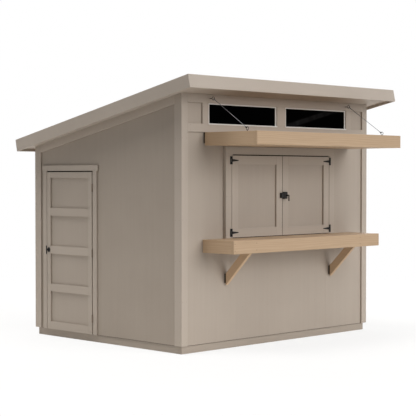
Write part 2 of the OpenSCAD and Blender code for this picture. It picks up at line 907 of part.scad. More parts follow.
// Packing behind the awning and the brace feet
module stand_off_blocks() {
    end_in = 80;
    edge_in = 20;
    color(counter_wood) {
        block([-awning_l / 2 + end_in, awning_back, awning_z + edge_in],
              [awning_l / 2 - end_in, -siding_y, awning_top - edge_in]);
        both_sides()
            block([brace_x - stud_t + 6, -siding_y - stand_off, brace_foot_z + edge_in],
                  [brace_x - 6, -siding_y, brace_foot_z + brace_w]);
    }
}

// Counter frame
module counter_frame() {
    color(counter_wood)
        box_frame(counter_l / 2, -siding_y, counter_front, counter_z - box_h, counter_z,
                  [-brace_mid, brace_mid]);
}

// Counter planks
module counter_top() {
    color(counter_wood)
        box_boards(counter_l / 2, -siding_y, counter_front, counter_z - box_sheet_t, 3);
}

// Diagonal braces under the counter
module counter_braces() {
    back = -siding_y - stand_off;
    cut = brace_w * sqrt(2);
    under = counter_z - box_h;
    reach = under - brace_foot_z;
    color(counter_wood)
        both_sides()
            translate([brace_x - stud_t, 0, 0])
                rotate([90, 0, 90])
                    linear_extrude(stud_t)
                        polygon([
                            [back, brace_foot_z], [back, brace_foot_z + cut],
                            [back - reach + cut, under], [back - reach, under]
                        ]);
}

// Cable ends: the centres of the upper and lower screw eyes
eye_wire = 3;
cable_x = awning_l / 2 - cable_inset;
wall_eye = [cable_x, -face_y - wall_eye_out, (frieze_z + soffit_z(-face_y)) / 2];
awning_eye = [cable_x, -siding_y - cable_reach, awning_top + awning_eye_up];

// A ring in the YZ plane
module ring(mean_r, wire_r) {
    rotate([0, 90, 0]) rotate_extrude() translate([mean_r, 0]) circle(wire_r);
}

// Screw eyes on the frieze and the awning
module screw_eyes() {
    mean_r = eye_r - eye_wire;
    color(cable_steel)
        both_sides() {
            translate(wall_eye) {
                ring(mean_r, eye_wire);
                translate([0, mean_r, 0])
                    rotate([-90, 0, 0]) cylinder(h = wall_eye_out - mean_r, r = eye_wire + 1);
            }
            translate(awning_eye) {
                ring(mean_r, eye_wire);
                translate([0, 0, -awning_eye_up])
                    cylinder(h = awning_eye_up - mean_r, r = eye_wire + 1);
            }
        }
}

// Taut cables, each with a loop and a sleeve at both ends
module awning_cables() {
    loop_r = 9;
    loop_wire = 2;
    sleeve_l = 26;
    run = awning_eye - wall_eye;
    length = norm(run);
    hook = eye_r - 2 * eye_wire - slack - loop_wire + loop_r;
    pitch = atan2(-run[1], run[2]);
    color(cable_steel)
        both_sides()
            translate(wall_eye)
                rotate([pitch, 0, 0]) {
                    translate([0, 0, hook + loop_r - 1])
                        cylinder(h = length - 2 * (hook + loop_r - 1), r = cable_d / 2);
                    for (end = [0, 1])
                        translate([0, 0, end * length])
                            mirror([0, 0, end]) {
                                translate([0, 0, hook])
                                    rotate([90, 0, 0]) rotate_extrude()
                                        translate([loop_r, 0]) circle(loop_wire);
                                translate([0, 0, hook + loop_r - 1])
                                    cylinder(h = sleeve_l, r = cable_d / 2 + 2);
                            }
                }
}

base_skirt();
floor_joists();
floor_deck();
front_wall_frame();
back_wall_frame();
left_wall_frame();
right_wall_frame();
front_siding();
back_siding();
left_siding();
right_siding();
corner_boards();
front_trim();
frieze_boards();
rafters();
roof_deck();
soffits();
fascias();
roofing();
window_frames();
window_glass();
door_casing();
door_panel();
door_frame();
door_hinge_plates();
door_hinge_leaves();
door_rose();
door_handle();
hatch_casing();
hatch_left_panel();
hatch_left_frame();
hatch_right_panel();
hatch_right_frame();
hatch_hinge_plates();
hatch_left_hardware();
hatch_right_hardware();
latch_lever();
awning_frame();
awning_boards();
stand_off_blocks();
screw_eyes();
awning_cables();
counter_frame();
counter_top();
counter_braces();
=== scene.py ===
import json
import math
import random
from functools import partial
import bmesh
import bpy
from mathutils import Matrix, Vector


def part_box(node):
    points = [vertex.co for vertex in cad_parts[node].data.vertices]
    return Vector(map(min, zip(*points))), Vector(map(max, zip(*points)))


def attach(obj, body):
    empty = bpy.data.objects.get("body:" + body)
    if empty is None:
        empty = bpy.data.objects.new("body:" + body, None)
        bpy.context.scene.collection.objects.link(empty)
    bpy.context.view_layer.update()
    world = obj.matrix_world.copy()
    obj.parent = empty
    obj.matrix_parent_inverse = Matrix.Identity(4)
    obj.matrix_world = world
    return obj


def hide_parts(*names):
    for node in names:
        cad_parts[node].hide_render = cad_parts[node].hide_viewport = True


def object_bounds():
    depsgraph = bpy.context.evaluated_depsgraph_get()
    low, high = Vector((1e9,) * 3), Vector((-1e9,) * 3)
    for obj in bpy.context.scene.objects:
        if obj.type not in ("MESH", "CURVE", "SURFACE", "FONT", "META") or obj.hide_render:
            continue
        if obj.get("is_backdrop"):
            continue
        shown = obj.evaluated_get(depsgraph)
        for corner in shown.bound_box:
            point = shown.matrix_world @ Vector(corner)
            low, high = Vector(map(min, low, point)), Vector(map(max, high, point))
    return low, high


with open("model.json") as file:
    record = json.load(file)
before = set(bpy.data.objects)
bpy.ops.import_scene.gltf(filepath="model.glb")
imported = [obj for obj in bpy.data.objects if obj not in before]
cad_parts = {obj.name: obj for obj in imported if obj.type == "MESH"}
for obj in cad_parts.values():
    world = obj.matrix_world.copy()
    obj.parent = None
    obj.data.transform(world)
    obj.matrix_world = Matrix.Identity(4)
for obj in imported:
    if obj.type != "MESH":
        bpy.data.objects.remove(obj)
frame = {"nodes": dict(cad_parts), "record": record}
nodes = frame["nodes"]
lowCad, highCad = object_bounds()
scene = bpy.context.scene
bodyOf = {n: b for b, members in frame["record"]["behaviour"]["bodies"].items() for n in members}
slotOf = {s["node"]: s["material_slot"] for s in frame["record"]["subparts"]}
print("bar shed: frame with", len(nodes), "pieces")


def linearOf(hexText):  # an sRGB hex value as the linear colour that Blender mixes
    parts = [int(hexText[i:i + 2], 16) / 255 for i in (1, 3, 5)]
    return tuple(c / 12.92 if c <= 0.04045 else ((c + 0.055) / 1.055) ** 2.4 for c in parts) + (1.0,)


def plug(node, inputs):  # values or links for a node's sockets; a node given as a value links its first output
    for key, value in inputs.items():
        if isinstance(value, bpy.types.Node):
            value = value.outputs[0]
        if isinstance(value, bpy.types.NodeSocket):
            node.id_data.links.new(value, node.inputs[key])
        else:
            node.inputs[key].default_value = value


def addNode(tree, kind, inputs=None, **settings):  # a node with its settings and what goes into its sockets
    node = tree.nodes.new(kind)
    for name, value in settings.items():
        setattr(node, name, value)
    plug(node, inputs or {})
    return node


def newMaterial(name):  # a material, what adds a node to it, and its shader
    material = bpy.data.materials.new(name)
    material.use_nodes = True
    return material, partial(addNode, material.node_tree), material.node_tree.nodes["Principled BSDF"]


def inScene(name, data):  # an object in the scene, at the origin
    piece = bpy.data.objects.new(name, data)
    scene.collection.objects.link(piece)
    return piece


def twoTone(add, shader, coat, blend, gloss, settings, relief=None):  # deep to pale by blend, sheen by gloss
    colour = add("ShaderNodeMix", {0: blend, 6: linearOf(coat["deep"]), 7: linearOf(coat["pale"])}, data_type="RGBA")
    sheen = add("ShaderNodeMapRange", {"Value": gloss, "To Min": coat["rough"][0], "To Max": coat["rough"][1]})
    plug(shader, {"Base Color": colour.outputs[2], "Roughness": sheen, **settings})
    if relief:
        strength, depth = coat["relief"]
        bump = add("ShaderNodeBump", {"Strength": strength, "Distance": depth, "Height": relief})
        plug(shader, {"Normal": bump})


def keepPlain(piece):  # the mesh that its modifiers make takes their place
    plain = bpy.data.meshes.new_from_object(piece.evaluated_get(bpy.context.evaluated_depsgraph_get()))
    piece.modifiers.clear()
    piece.data = plain


noiseSpan = {"From Min": 0.3, "From Max": 0.7}  # where nearly all of a noise lies

# satin acrylic house paint, sprayed and back-rolled on smooth siding and primed boards:
# a soft even taupe, each board a touch lighter or darker, on some boards as painted light and shade,
# with a fine roller stipple and a low sheen
paint = {"deep": "#8d8174", "pale": "#b6aa9e", "dust": "#998d7c", "cloudM": 0.8, "stippleMm": 7, "rough": (0.47, 0.59),
         "clouds": 0.14, "strokes": 0.07, "splash": 0.1, "splashHigh": (0.04, 0.3), "relief": (0.16, 0.0006)}


def satinHousePaint():
    material, add, shader = newMaterial("satinHousePaint")
    grain = add("ShaderNodeAttribute", attribute_name="grain").outputs["Vector"]
    toneAndPaintedLight = add("ShaderNodeAttribute", attribute_name="boardTone").outputs["Fac"]
    place = add("ShaderNodeTexCoord").outputs["Object"]
    clouds = add("ShaderNodeTexNoise", {"Vector": place, "Scale": 1 / paint["cloudM"], "Detail": 3.0})
    drawn = add("ShaderNodeMapping", {"Vector": grain, "Scale": (1.1, 24.0, 24.0)})
    strokes = add("ShaderNodeTexNoise", {"Vector": drawn, "Scale": 1.0, "Detail": 3.0})
    cloudPart = add("ShaderNodeMapRange", {"Value": clouds, **noiseSpan, "To Max": paint["clouds"]})
    strokePart = add("ShaderNodeMapRange", {"Value": strokes, **noiseSpan, "To Max": paint["strokes"]})
    both = add("ShaderNodeMath", {0: cloudPart, 1: strokePart}, operation="ADD")
    factor = add("ShaderNodeMath", {0: toneAndPaintedLight, 1: both}, operation="ADD", use_clamp=True)
    coat = add("ShaderNodeMix", {0: factor, 6: linearOf(paint["deep"]), 7: linearOf(paint["pale"])}, data_type="RGBA")
    height = add("ShaderNodeSeparateXYZ", {0: place}).outputs["Z"]
    # rain splash leaves a little dust on the lowest boards
    splash = add("ShaderNodeMapRange", {"Value": height, "From Min": paint["splashHigh"][0],
            "From Max": paint["splashHigh"][1], "To Min": paint["splash"], "To Max": 0.0})
    dusty = add("ShaderNodeMath", {0: splash, 1: clouds}, operation="MULTIPLY")
    colour = add("ShaderNodeMix", {0: dusty, 6: coat.outputs[2], 7: linearOf(paint["dust"])}, data_type="RGBA")
    # roller stipple is about 1 mm, drawn coarser so that it shows
    stipple = add("ShaderNodeTexNoise", {"Vector": place, "Scale": 1000 / paint["stippleMm"], "Detail": 2.0})
    relief = add("ShaderNodeBump", {"Strength": paint["relief"][0], "Distance": paint["relief"][1],
            "Height": stipple})
    sheen = add("ShaderNodeMapRange", {"Value": strokes, **noiseSpan, "To Min": paint["rough"][0],
            "To Max": paint["rough"][1]})
    plug(shader, {"Base Color": colour.outputs[2], "IOR": 1.48, "Roughness": sheen, "Specular IOR Level": 0.38,
            "Normal": relief})
    return material


# planed pine: growth rings run down each board and arc across its ends, with fine darker fibres
oiledPine = {"early": "#b69c80", "late": "#ad9275", "fleck": "#9e8366", "ringMm": 12, "fibreMm": 5,
             "rough": (0.44, 0.6), "level": 0.35, "relief": (0.3, 0.0004)}  # under matt clear oil, slightly greyed
framingPine = {"early": "#dcc39a", "late": "#c7a473", "fleck": "#a9834f", "ringMm": 9, "fibreMm": 4,
               "rough": (0.6, 0.76), "level": 0.3, "relief": (0.3, 0.0004)}  # bare studs and rafters inside


def planedPine(name, wood):
    material, add, shader = newMaterial(name)
    grain = add("ShaderNodeAttribute", attribute_name="grain").outputs["Vector"]
    toneAndPaintedLight = add("ShaderNodeAttribute", attribute_name="boardTone").outputs["Fac"]
    slow = add("ShaderNodeMapping", {"Vector": grain, "Scale": (0.9, 7.0, 7.0)})
    wander = add("ShaderNodeTexNoise", {"Vector": slow, "Scale": 1.0, "Detail": 2.0})
    bend = add("ShaderNodeVectorMath", {0: wander.outputs["Color"], "Scale": 0.03}, operation="SCALE")
    drawn = add("ShaderNodeMapping", {"Vector": grain, "Scale": (0.05, 1.0, 1.0)})
    trunk = add("ShaderNodeVectorMath", {0: drawn, 1: bend}, operation="ADD")
    rings = add("ShaderNodeTexWave", {"Vector": trunk, "Scale": 314 / wood["ringMm"], "Distortion": 0.6,
            "Detail": 2.0, "Detail Scale": 1.5}, wave_type="RINGS", rings_direction="X", wave_profile="SAW")
    fine = add("ShaderNodeMapping", {"Vector": grain,
            "Scale": (3.0, 1000 / wood["fibreMm"], 1000 / wood["fibreMm"])})  # fibres drawn coarse to show
    fibres = add("ShaderNodeTexNoise", {"Vector": fine, "Scale": 1.0, "Detail": 3.0})
    ringPart = add("ShaderNodeMapRange", {"Value": rings.outputs["Fac"], "From Min": 0.15, "To Max": 0.8})
    fibrePart = add("ShaderNodeMapRange", {"Value": fibres, "From Min": 0.5, "From Max": 0.75, "To Max": 0.35})
    ringed = add("ShaderNodeMix", {0: ringPart, 6: linearOf(wood["early"]), 7: linearOf(wood["late"])},
            data_type="RGBA")
    flecked = add("ShaderNodeMix", {0: fibrePart, 6: ringed.outputs[2], 7: linearOf(wood["fleck"])}, data_type="RGBA")
    # the board tone sets how bright a board is; the counter braces' high tone is painted light
    value = add("ShaderNodeMapRange", {"Value": toneAndPaintedLight, "To Min": 0.56, "To Max": 1.24})
    colour = add("ShaderNodeHueSaturation", {"Color": flecked.outputs[2], "Value": value})
    sheen = add("ShaderNodeMapRange", {"Value": fibres, **noiseSpan, "To Min": wood["rough"][0],
            "To Max": wood["rough"][1]})
    relief = add("ShaderNodeBump", {"Strength": wood["relief"][0], "Distance": wood["relief"][1], "Height": fibres})
    plug(shader, {"Base Color": colour, "IOR": 1.5, "Roughness": sheen, "Specular IOR Level": wood["level"],
            "Normal": relief})
    return material


# oriented strand board, pressed: the unpainted inner side of the siding, the floor and roof sheets,
# long overlapping wood strands, each its own brown
strandBoard = {"pale": "#cba777", "deep": "#a07a4d", "strandMm": 55, "rough": (0.62, 0.78),
               "relief": (0.3, 0.0006), "turns": ((0.35, 0.24, 0.35), (1.9, 1.3, 1.9))}


def pressedStrands():
    material, add, shader = newMaterial("pressedStrands")
    place = add("ShaderNodeTexCoord").outputs["Object"]
    size, layers = 1000 / strandBoard["strandMm"], []
    for turn in strandBoard["turns"]:
        turned = add("ShaderNodeMapping", {"Vector": place, "Rotation": turn, "Scale": (size, size * 3, size * 3)})
        layers.append(add("ShaderNodeTexVoronoi", {"Vector": turned, "Scale": 1.0}))
    tint = add("ShaderNodeMix", {0: 0.45, 6: layers[0].outputs["Color"], 7: layers[1].outputs["Color"]},
            data_type="RGBA")
    factor = add("ShaderNodeSeparateColor", {0: tint.outputs[2]})
    twoTone(add, shader, strandBoard, factor, factor.outputs[1], {"IOR": 1.5}, layers[0])
    return material


# mineral faced asphalt shingle: crushed slate rolled into bitumen, dull, dark and speckled, each tab its own shade
felt = {"deep": "#34322f", "pale": "#625d56", "gritMm": 4, "rough": (0.84, 0.96), "relief": (0.4, 0.001)}


def mineralShingle():
    material, add, shader = newMaterial("mineralShingle")
    place = add("ShaderNodeTexCoord").outputs["Object"]
    tab = add("ShaderNodeAttribute", attribute_name="tabTone").outputs["Fac"]
    # the grit is about 1 mm, drawn coarser so that it shows
    grit = add("ShaderNodeTexVoronoi", {"Vector": place, "Scale": 1000 / felt["gritMm"]})
    speck = add("ShaderNodeSeparateColor", {0: grit.outputs["Color"]})
    clouds = add("ShaderNodeTexNoise", {"Vector": place, "Scale": 2.5, "Detail": 3.0})
    mottle = add("ShaderNodeMath", {0: speck, 1: 0.4, 2: -0.1}, operation="MULTIPLY_ADD")
    worn = add("ShaderNodeMath", {0: clouds, 1: 0.4, 2: mottle}, operation="MULTIPLY_ADD")
    factor = add("ShaderNodeMath", {0: tab, 1: 0.4, 2: worn}, operation="MULTIPLY_ADD", use_clamp=True)
    twoTone(add, shader, felt, factor, speck.outputs[1], {"IOR": 1.45}, grit)
    return material


# extruded window vinyl: even pale grey-white, slightly glossy, with a faint waviness from the die
vinyl = {"deep": "#d2cfca", "pale": "#dedbd7", "rough": (0.37, 0.47), "relief": (0.1, 0.0002)}


def extrudedVinyl():
    material, add, shader = newMaterial("extrudedVinyl")
    place = add("ShaderNodeTexCoord").outputs["Object"]
    clouds = add("ShaderNodeTexNoise", {"Vector": place, "Scale": 9.0, "Detail": 2.0})
    lines = add("ShaderNodeMapping", {"Vector": place, "Scale": (4.0, 300.0, 300.0)})
    waves = add("ShaderNodeTexNoise", {"Vector": lines, "Scale": 1.0})
    twoTone(add, shader, vinyl, clouds, clouds, {"IOR": 1.52}, waves)
    return material


# dark tinted float glass: black, as the room behind is unlit, with one painted reflection, a pale streak, across the
# right pane
glass = {"deep": "#010101", "pale": "#222223", "rough": (0.08, 0.16), "reflectionUp": 2.322, "reflectionCore": 0.02,
         "reflectionHalf": 0.037, "across": (-0.242, 0, 0.97), "fadeFrom": 0.03, "fadeTo": 0.1}  # across: square to it


def tintedGlass():
    material, add, shader = newMaterial("tintedGlass")
    place = add("ShaderNodeTexCoord").outputs["Object"]
    # a pale band across the right pane: painted reflection
    risen = add("ShaderNodeVectorMath", {0: place, 1: glass["across"]}, operation="DOT_PRODUCT")
    off = add("ShaderNodeMath", {0: risen.outputs["Value"], 1: glass["reflectionUp"]}, operation="SUBTRACT")
    away = add("ShaderNodeMath", {0: off}, operation="ABSOLUTE")
    reflectionBand = add("ShaderNodeMapRange", {"Value": away, "From Min": glass["reflectionCore"],
            "From Max": glass["reflectionHalf"], "To Min": 1.0, "To Max": 0.0})
    along = add("ShaderNodeSeparateXYZ", {0: place})
    fades = add("ShaderNodeMapRange", {"Value": along, "From Min": glass["fadeFrom"], "From Max": glass["fadeTo"]})
    smearsAndReflection = add("ShaderNodeTexNoise", {"Vector": place, "Scale": 9.0, "Detail": 2.0})
    uneven = add("ShaderNodeMath", {0: fades, 1: reflectionBand}, operation="MULTIPLY")
    paintedReflection = add("ShaderNodeMath", {0: uneven, 1: smearsAndReflection}, operation="MULTIPLY")
    twoTone(add, shader, glass, paintedReflection, smearsAndReflection, {"IOR": 1.5, "Specular IOR Level": 0.002})
    return material


# black powder coated steel: matt black with a fine orange peel
steelCoat = {"deep": "#141312", "pale": "#201e1d", "peelMm": 1.5, "rough": (0.5, 0.7), "relief": (0.2, 0.0002)}


def blackPowderCoat():
    material, add, shader = newMaterial("blackPowderCoat")
    place = add("ShaderNodeTexCoord").outputs["Object"]
    peel = add("ShaderNodeTexNoise", {"Vector": place, "Scale": 1000 / steelCoat["peelMm"]})
    clouds = add("ShaderNodeTexNoise", {"Vector": place, "Scale": 60.0})
    twoTone(add, shader, steelCoat, clouds, peel, {"IOR": 1.5, "Specular IOR Level": 0.25}, peel)
    return material


# foamed rubber strip: dead black, its skin finely pitted; most strips stand in gaps as painted shade
rubber = {"deep": "#0c0c0c", "pale": "#151514", "pitMm": 2.5, "rough": (0.8, 0.95), "relief": (0.3, 0.0004)}


def foamedRubber():
    material, add, shader = newMaterial("foamedRubber")
    place = add("ShaderNodeTexCoord").outputs["Object"]
    pits = add("ShaderNodeTexVoronoi", {"Vector": place, "Scale": 1000 / rubber["pitMm"]})
    twoTone(add, shader, rubber, pits, pits, {"IOR": 1.5, "Specular IOR Level": 0.2}, pits)
    return material


# hot dip galvanised steel: dull grey zinc with a spangle, darker on the screw eyes
wireZinc = {"deep": "#626466", "pale": "#8c8e91", "spangleMm": 4.5, "rough": (0.34, 0.52)}
eyeZinc = {"deep": "#26272a", "pale": "#3f4144", "spangleMm": 6, "rough": (0.34, 0.52)}


def galvanisedSteel(name, zincCoat):
    material, add, shader = newMaterial(name)
    place = add("ShaderNodeTexCoord").outputs["Object"]
    spangle = add("ShaderNodeTexVoronoi", {"Vector": place, "Scale": 1000 / zincCoat["spangleMm"]})
    speck = add("ShaderNodeSeparateColor", {0: spangle.outputs["Color"]})
    twoTone(add, shader, zincCoat, speck, speck.outputs[1], {"Metallic": 1.0})
    return material


houseCoat = satinHousePaint()
barWood = planedPine("oiledPine", oiledPine)
frameWood = planedPine("framingPine", framingPine)
strands = pressedStrands()
shingle = mineralShingle()
windowVinyl = extrudedVinyl()
pane = tintedGlass()
blackSteel = blackPowderCoat()
zinc = galvanisedSteel("galvanisedWire", wireZinc)
darkZinc = galvanisedSteel("weatheredZinc", eyeZinc)
rubberAndPaintedShadeCoat = foamedRubber()
coats = {"painted_timber": houseCoat, "framing_pine": frameWood, "sheet_wood": strands, "oiled_pine": barWood,
         "window_paint": windowVinyl}
print("materials made")

# boards: each keeps its place and size, its edges are eased and its own grain is written on it
boardEdges = {"base_skirt": 2.0, "floor_joists": 2.5, "floor_deck": 1.0, "front_wall_frame": 2.5,
              "back_wall_frame": 2.5, "left_wall_frame": 2.5, "right_wall_frame": 2.5, "front_siding": 0.3,
              "back_siding": 0.3, "left_siding": 0.3, "right_siding": 0.3, "corner_boards": 1.6, "front_trim": 1.6,
              "frieze_boards": 1.6, "rafters": 2.5, "roof_deck": 0.8, "soffits": 0.8, "fascias": 1.6,
              "window_frames": 1.0, "door_casing": 1.6, "door_panel": 0.6, "door_frame": 1.4, "hatch_casing": 2.0,
              "hatch_left_panel": 0.6, "hatch_left_frame": 1.4, "hatch_right_panel": 0.6, "hatch_right_frame": 1.4,
              "awning_frame": 2.2, "awning_boards": 1.8, "stand_off_blocks": 1.5, "counter_frame": 2.2,
              "counter_top": 1.8, "counter_braces": 2.2}  # node and its edge rounding in mm
# from dark to pale, 0 to 1; sheets of one coat are one shade
# painted light and shade here: the left siding and the skirt are darker as painted shade, and the fascias, soffits,
# frieze boards and counter braces lighter as painted light
boardTonesAndPaintedLight = {"usual": (0.64, 0.74), "fascias": (0.8, 0.84), "soffits": (0.94, 1.0), "frieze_boards": (0.84, 0.9),
               "counter_braces": (0.9, 1.0), "base_skirt": (0.4, 0.46), "awning_frame": (0.74, 0.84),
               "front_siding": (0.53, 0.53), "left_siding": (0.3, 0.3), "back_siding": (0.4, 0.4),
               "right_siding": (0.4, 0.4), "door_panel": (0.45, 0.45), "door_frame": (0.58, 0.64),
               "hatch_left_panel": (0.55, 0.55), "hatch_right_panel": (0.55, 0.55)}
upright = {"front_siding", "back_siding", "left_siding", "right_siding", "door_panel", "hatch_left_panel",
           "hatch_right_panel"}  # sheets whose grain stands up
inward = {"front_siding": (0, 1, 0), "back_siding": (0, -1, 0), "left_siding": (1, 0, 0), "right_siding": (-1, 0, 0)}
nailedBoards = {"corner_boards", "front_trim", "frieze_boards", "fascias", "door_casing", "hatch_casing"}
nailRule = {"pitch": 0.4, "edgeIn": 0.016, "endIn": 0.04, "studPitch": 0.406, "sheetPitch": 0.3, "sheetFrom": 0.13,
            "columns": range(-3, 4), "rows": 9, "sides": 7, "radius": 0.0032, "height": 0.0005, "drive": 0.0002,
            "seek": 0.06, "seekFar": 0.1, "slack": 0.0001, "flush": 0.0009, "square": 0.95}  # in metres
nailSpots = []  # place and facing of each painted nail head
boardRule = {"weld": 0.00002, "flatDegrees": 0.4, "easedDegrees": 30, "segments": 2, "firstSeed": 40,
             "heart": ((0, 9), (0.03, 0.1), (0.05, 0.12))}  # heart: how far a board is cut from the tree's middle


def islandsOf(mesh):  # the separate boards of a node, as lists of corners
    seen, found = set(), []
    for start in mesh.verts:
        if start in seen:
            continue
        group, queue = [], [start]
        seen.add(start)
        while queue:
            corner = queue.pop()
            group.append(corner)
            for edge in corner.link_edges:
                other = edge.other_vert(corner)
                if other not in seen:
                    seen.add(other)
                    queue.append(other)
        found.append(group)
    return found


def grainAxes(board, standing):  # the board's length, then its width, then its thickness
    edges = dict.fromkeys(e for corner in board for e in corner.link_edges)  # in a fixed order, so ties fall alike
    runs = sorted(((e.verts[1].co - e.verts[0].co) for e in edges), key=lambda r: -r.length)
    along = Vector((0, 0, 1)) if standing else runs[0].normalized()
    wide = next((r for r in runs if abs(r.normalized().dot(along)) < 0.3), Vector((1, 0, 0)))
    across = (wide - along * wide.dot(along)).normalized()
    return along, across, along.cross(across)


def nailsAlong(board, along, across, through, middle):  # a pair of nails at each step of a board's length
    away = [corner.co - middle for corner in board]
    reach, half = max(a.dot(along) for a in away), max(a.dot(across) for a in away)
    depth = max(a.dot(through) for a in away)
    outward = through if through.dot(Vector((middle.x, middle.y, 0))) > 0 else -through
    length = 2 * (reach - nailRule["endIn"])
    steps = max(1, round(length / nailRule["pitch"]))
    for step in range(steps + 1):
        run = along * (length * step / steps - length / 2)
        for side in (-1, 1):
            nailSpots.append((middle + run + across * side * (half - nailRule["edgeIn"]) + outward * depth, outward))


def easedBoards(name, edgeMm, seed):
    chance = random.Random(seed)
    mesh = bmesh.new()
    mesh.from_mesh(nodes[name].data)
    bmesh.ops.remove_doubles(mesh, verts=mesh.verts, dist=boardRule["weld"])
    bmesh.ops.dissolve_limit(mesh, angle_limit=math.radians(boardRule["flatDegrees"]), verts=mesh.verts,
                             edges=mesh.edges)
    grain = mesh.verts.layers.float_vector.new("grain")
    toneAndPaintedLight = mesh.verts.layers.float.new("boardTone")
    for board in islandsOf(mesh):
        along, across, through = grainAxes(board, name in upright)
        heart = Vector([chance.uniform(*span) for span in boardRule["heart"]])
        middle = sum((c.co for c in board), Vector()) / len(board)
        shadeOf = chance.uniform(*boardTonesAndPaintedLight.get(name, boardTonesAndPaintedLight["usual"]))
        for corner in board:
            away = corner.co - middle
            corner[grain] = heart + Vector((away.dot(along), away.dot(across), away.dot(through)))
            corner[toneAndPaintedLight] = shadeOf
        if name in nailedBoards:
            nailsAlong(board, along, across, through, middle)
    data = bpy.data.meshes.new(name + ".boards")
    innerWay = inward.get(name)
    for face in mesh.faces:
        face.smooth = True
        if innerWay:
            face.material_index = 1 if face.normal.dot(Vector(innerWay)) > 0.9 else 0
    mesh.to_mesh(data)
    mesh.free()
    data.materials.append(coats[slotOf[name]])
    if innerWay:
        data.materials.append(strands)
    piece = inScene(name + ".boards", data)
    easing = piece.modifiers.new("easedEdges", "BEVEL")
    easing.width = edgeMm / 1000
    easing.segments = boardRule["segments"]
    easing.limit_method = "ANGLE"
    easing.angle_limit = math.radians(boardRule["easedDegrees"])
    easing.miter_outer = "MITER_SHARP"
    weighting = piece.modifiers.new("flatFaces", "WEIGHTED_NORMAL")  # wide faces stay flat, only the edges turn
    weighting.mode = "FACE_AREA"
    weighting.weight = 100
    keepPlain(piece)
    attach(piece, bodyOf[name])
    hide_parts(name)


for count, (name, edgeMm) in enumerate(boardEdges.items()):
    easedBoards(name, edgeMm, boardRule["firstSeed"] + count)
print("boards eased and grained:", len(boardEdges))


socketKinds = {int: "NodeSocketInt", float: "NodeSocketFloat", tuple: "NodeSocketVector",
               type(None): "NodeSocketMaterial"}


def shapeTree(name, inputs):  # a Geometry Nodes tree with its named inputs, and what adds a node to it
    tree = bpy.data.node_groups.new(name, "GeometryNodeTree")
    tree.is_modifier = True
    tree.interface.new_socket("Carrier", in_out="INPUT", socket_type="NodeSocketGeometry")
    for label, value in inputs.items():
        socket = tree.interface.new_socket(label, in_out="INPUT", socket_type=socketKinds[type(value)])
        if value is not None:
            socket.default_value = value
    tree.interface.new_socket("Made", in_out="OUTPUT", socket_type="NodeSocketGeometry")
    return tree, partial(addNode, tree), addNode(tree, "NodeGroupInput").outputs


def endTree(add, shape, finish):  # the shapes made real, in their material
    real = add("GeometryNodeRealizeInstances", {0: shape})
    dressed = add("GeometryNodeSetMaterial", {"Geometry": real, "Material": finish})
    add("NodeGroupOutput", {0: dressed})


def grown(name, carrier, tree, values, body):  # runs a tree on a carrier mesh and keeps the plain mesh
    piece = inScene(name, carrier)
    growth = piece.modifiers.new(tree.name, "NODES")
    growth.node_group = tree
    for socket in tree.interface.items_tree:
        if socket.in_out == "INPUT" and socket.name in values:
            growth[socket.identifier] = values[socket.name]
    keepPlain(piece)
    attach(piece, body)
    return piece


# screw, nail and plug heads: one domed head with a sunk drive on each point of a carrier, turned to its facing
headShape = {"rimPart": 0.6, "domeNarrows": 0.74, "driveNarrows": 0.62, "bedded": 0.3}  # parts of a head's size
headTree, add, given = shapeTree("fastenerHeads", {"Sides": 12, "Head Radius": 0.0035, "Head Height": 0.0014,
        "Drive Depth": 0.0009, "Finish": None})
rimHeight = add("ShaderNodeMath", {0: given["Head Height"], 1: headShape["rimPart"]}, operation="MULTIPLY")
domeHeight = add("ShaderNodeMath", {0: given["Head Height"], 1: 1 - headShape["rimPart"]}, operation="MULTIPLY")
sunk = add("ShaderNodeMath", {0: given["Drive Depth"], 1: -1.0}, operation="MULTIPLY")
rim = add("GeometryNodeMeshCylinder", {"Vertices": given["Sides"], "Radius": given["Head Radius"], "Depth": rimHeight})
dome = add("GeometryNodeExtrudeMesh", {"Mesh": rim, "Selection": rim.outputs["Top"], "Offset Scale": domeHeight})
domed = add("GeometryNodeScaleElements", {0: dome, 1: dome.outputs["Top"], 2: headShape["domeNarrows"]})
lip = add("GeometryNodeExtrudeMesh", {"Mesh": domed, "Selection": dome.outputs["Top"], "Offset Scale": 0.0})
lipped = add("GeometryNodeScaleElements", {0: lip, 1: lip.outputs["Top"], 2: headShape["driveNarrows"]})
drive = add("GeometryNodeExtrudeMesh", {"Mesh": lipped, "Selection": lip.outputs["Top"], "Offset Scale": sunk})
facing = add("GeometryNodeInputNamedAttribute", {"Name": "facing"}, data_type="FLOAT_VECTOR")
turn = add("FunctionNodeAlignRotationToVector", {"Vector": facing}, axis="Z")
heads = add("GeometryNodeInstanceOnPoints", {"Points": given["Carrier"], "Instance": drive, "Rotation": turn})
real = add("GeometryNodeRealizeInstances", {0: heads})
where = add("GeometryNodeInputPosition")
grained = add("GeometryNodeStoreNamedAttribute", {"Geometry": real, "Name": "grain", "Value": where},
        data_type="FLOAT_VECTOR")
dressed = add("GeometryNodeSetMaterial", {"Geometry": grained, "Material": given["Finish"]})
add("NodeGroupOutput", {0: dressed})


def fasteners(name, spots, held, finish, body):  # spots are places and facings of the heads
    carrier = bpy.data.meshes.new(name)
    lift = held["height"] * headShape["bedded"]
    carrier.from_pydata([Vector(p) + Vector(f) * lift for p, f in spots], [], [])
    facingOf = carrier.attributes.new("facing", "FLOAT_VECTOR", "POINT")
    facingOf.data.foreach_set("vector", [c for p, f in spots for c in f])
    sizes = {"Sides": held["sides"], "Head Radius": held["radius"], "Head Height": held["height"],
             "Drive Depth": held["drive"], "Finish": finish}
    return grown(name, carrier, headTree, sizes, body)


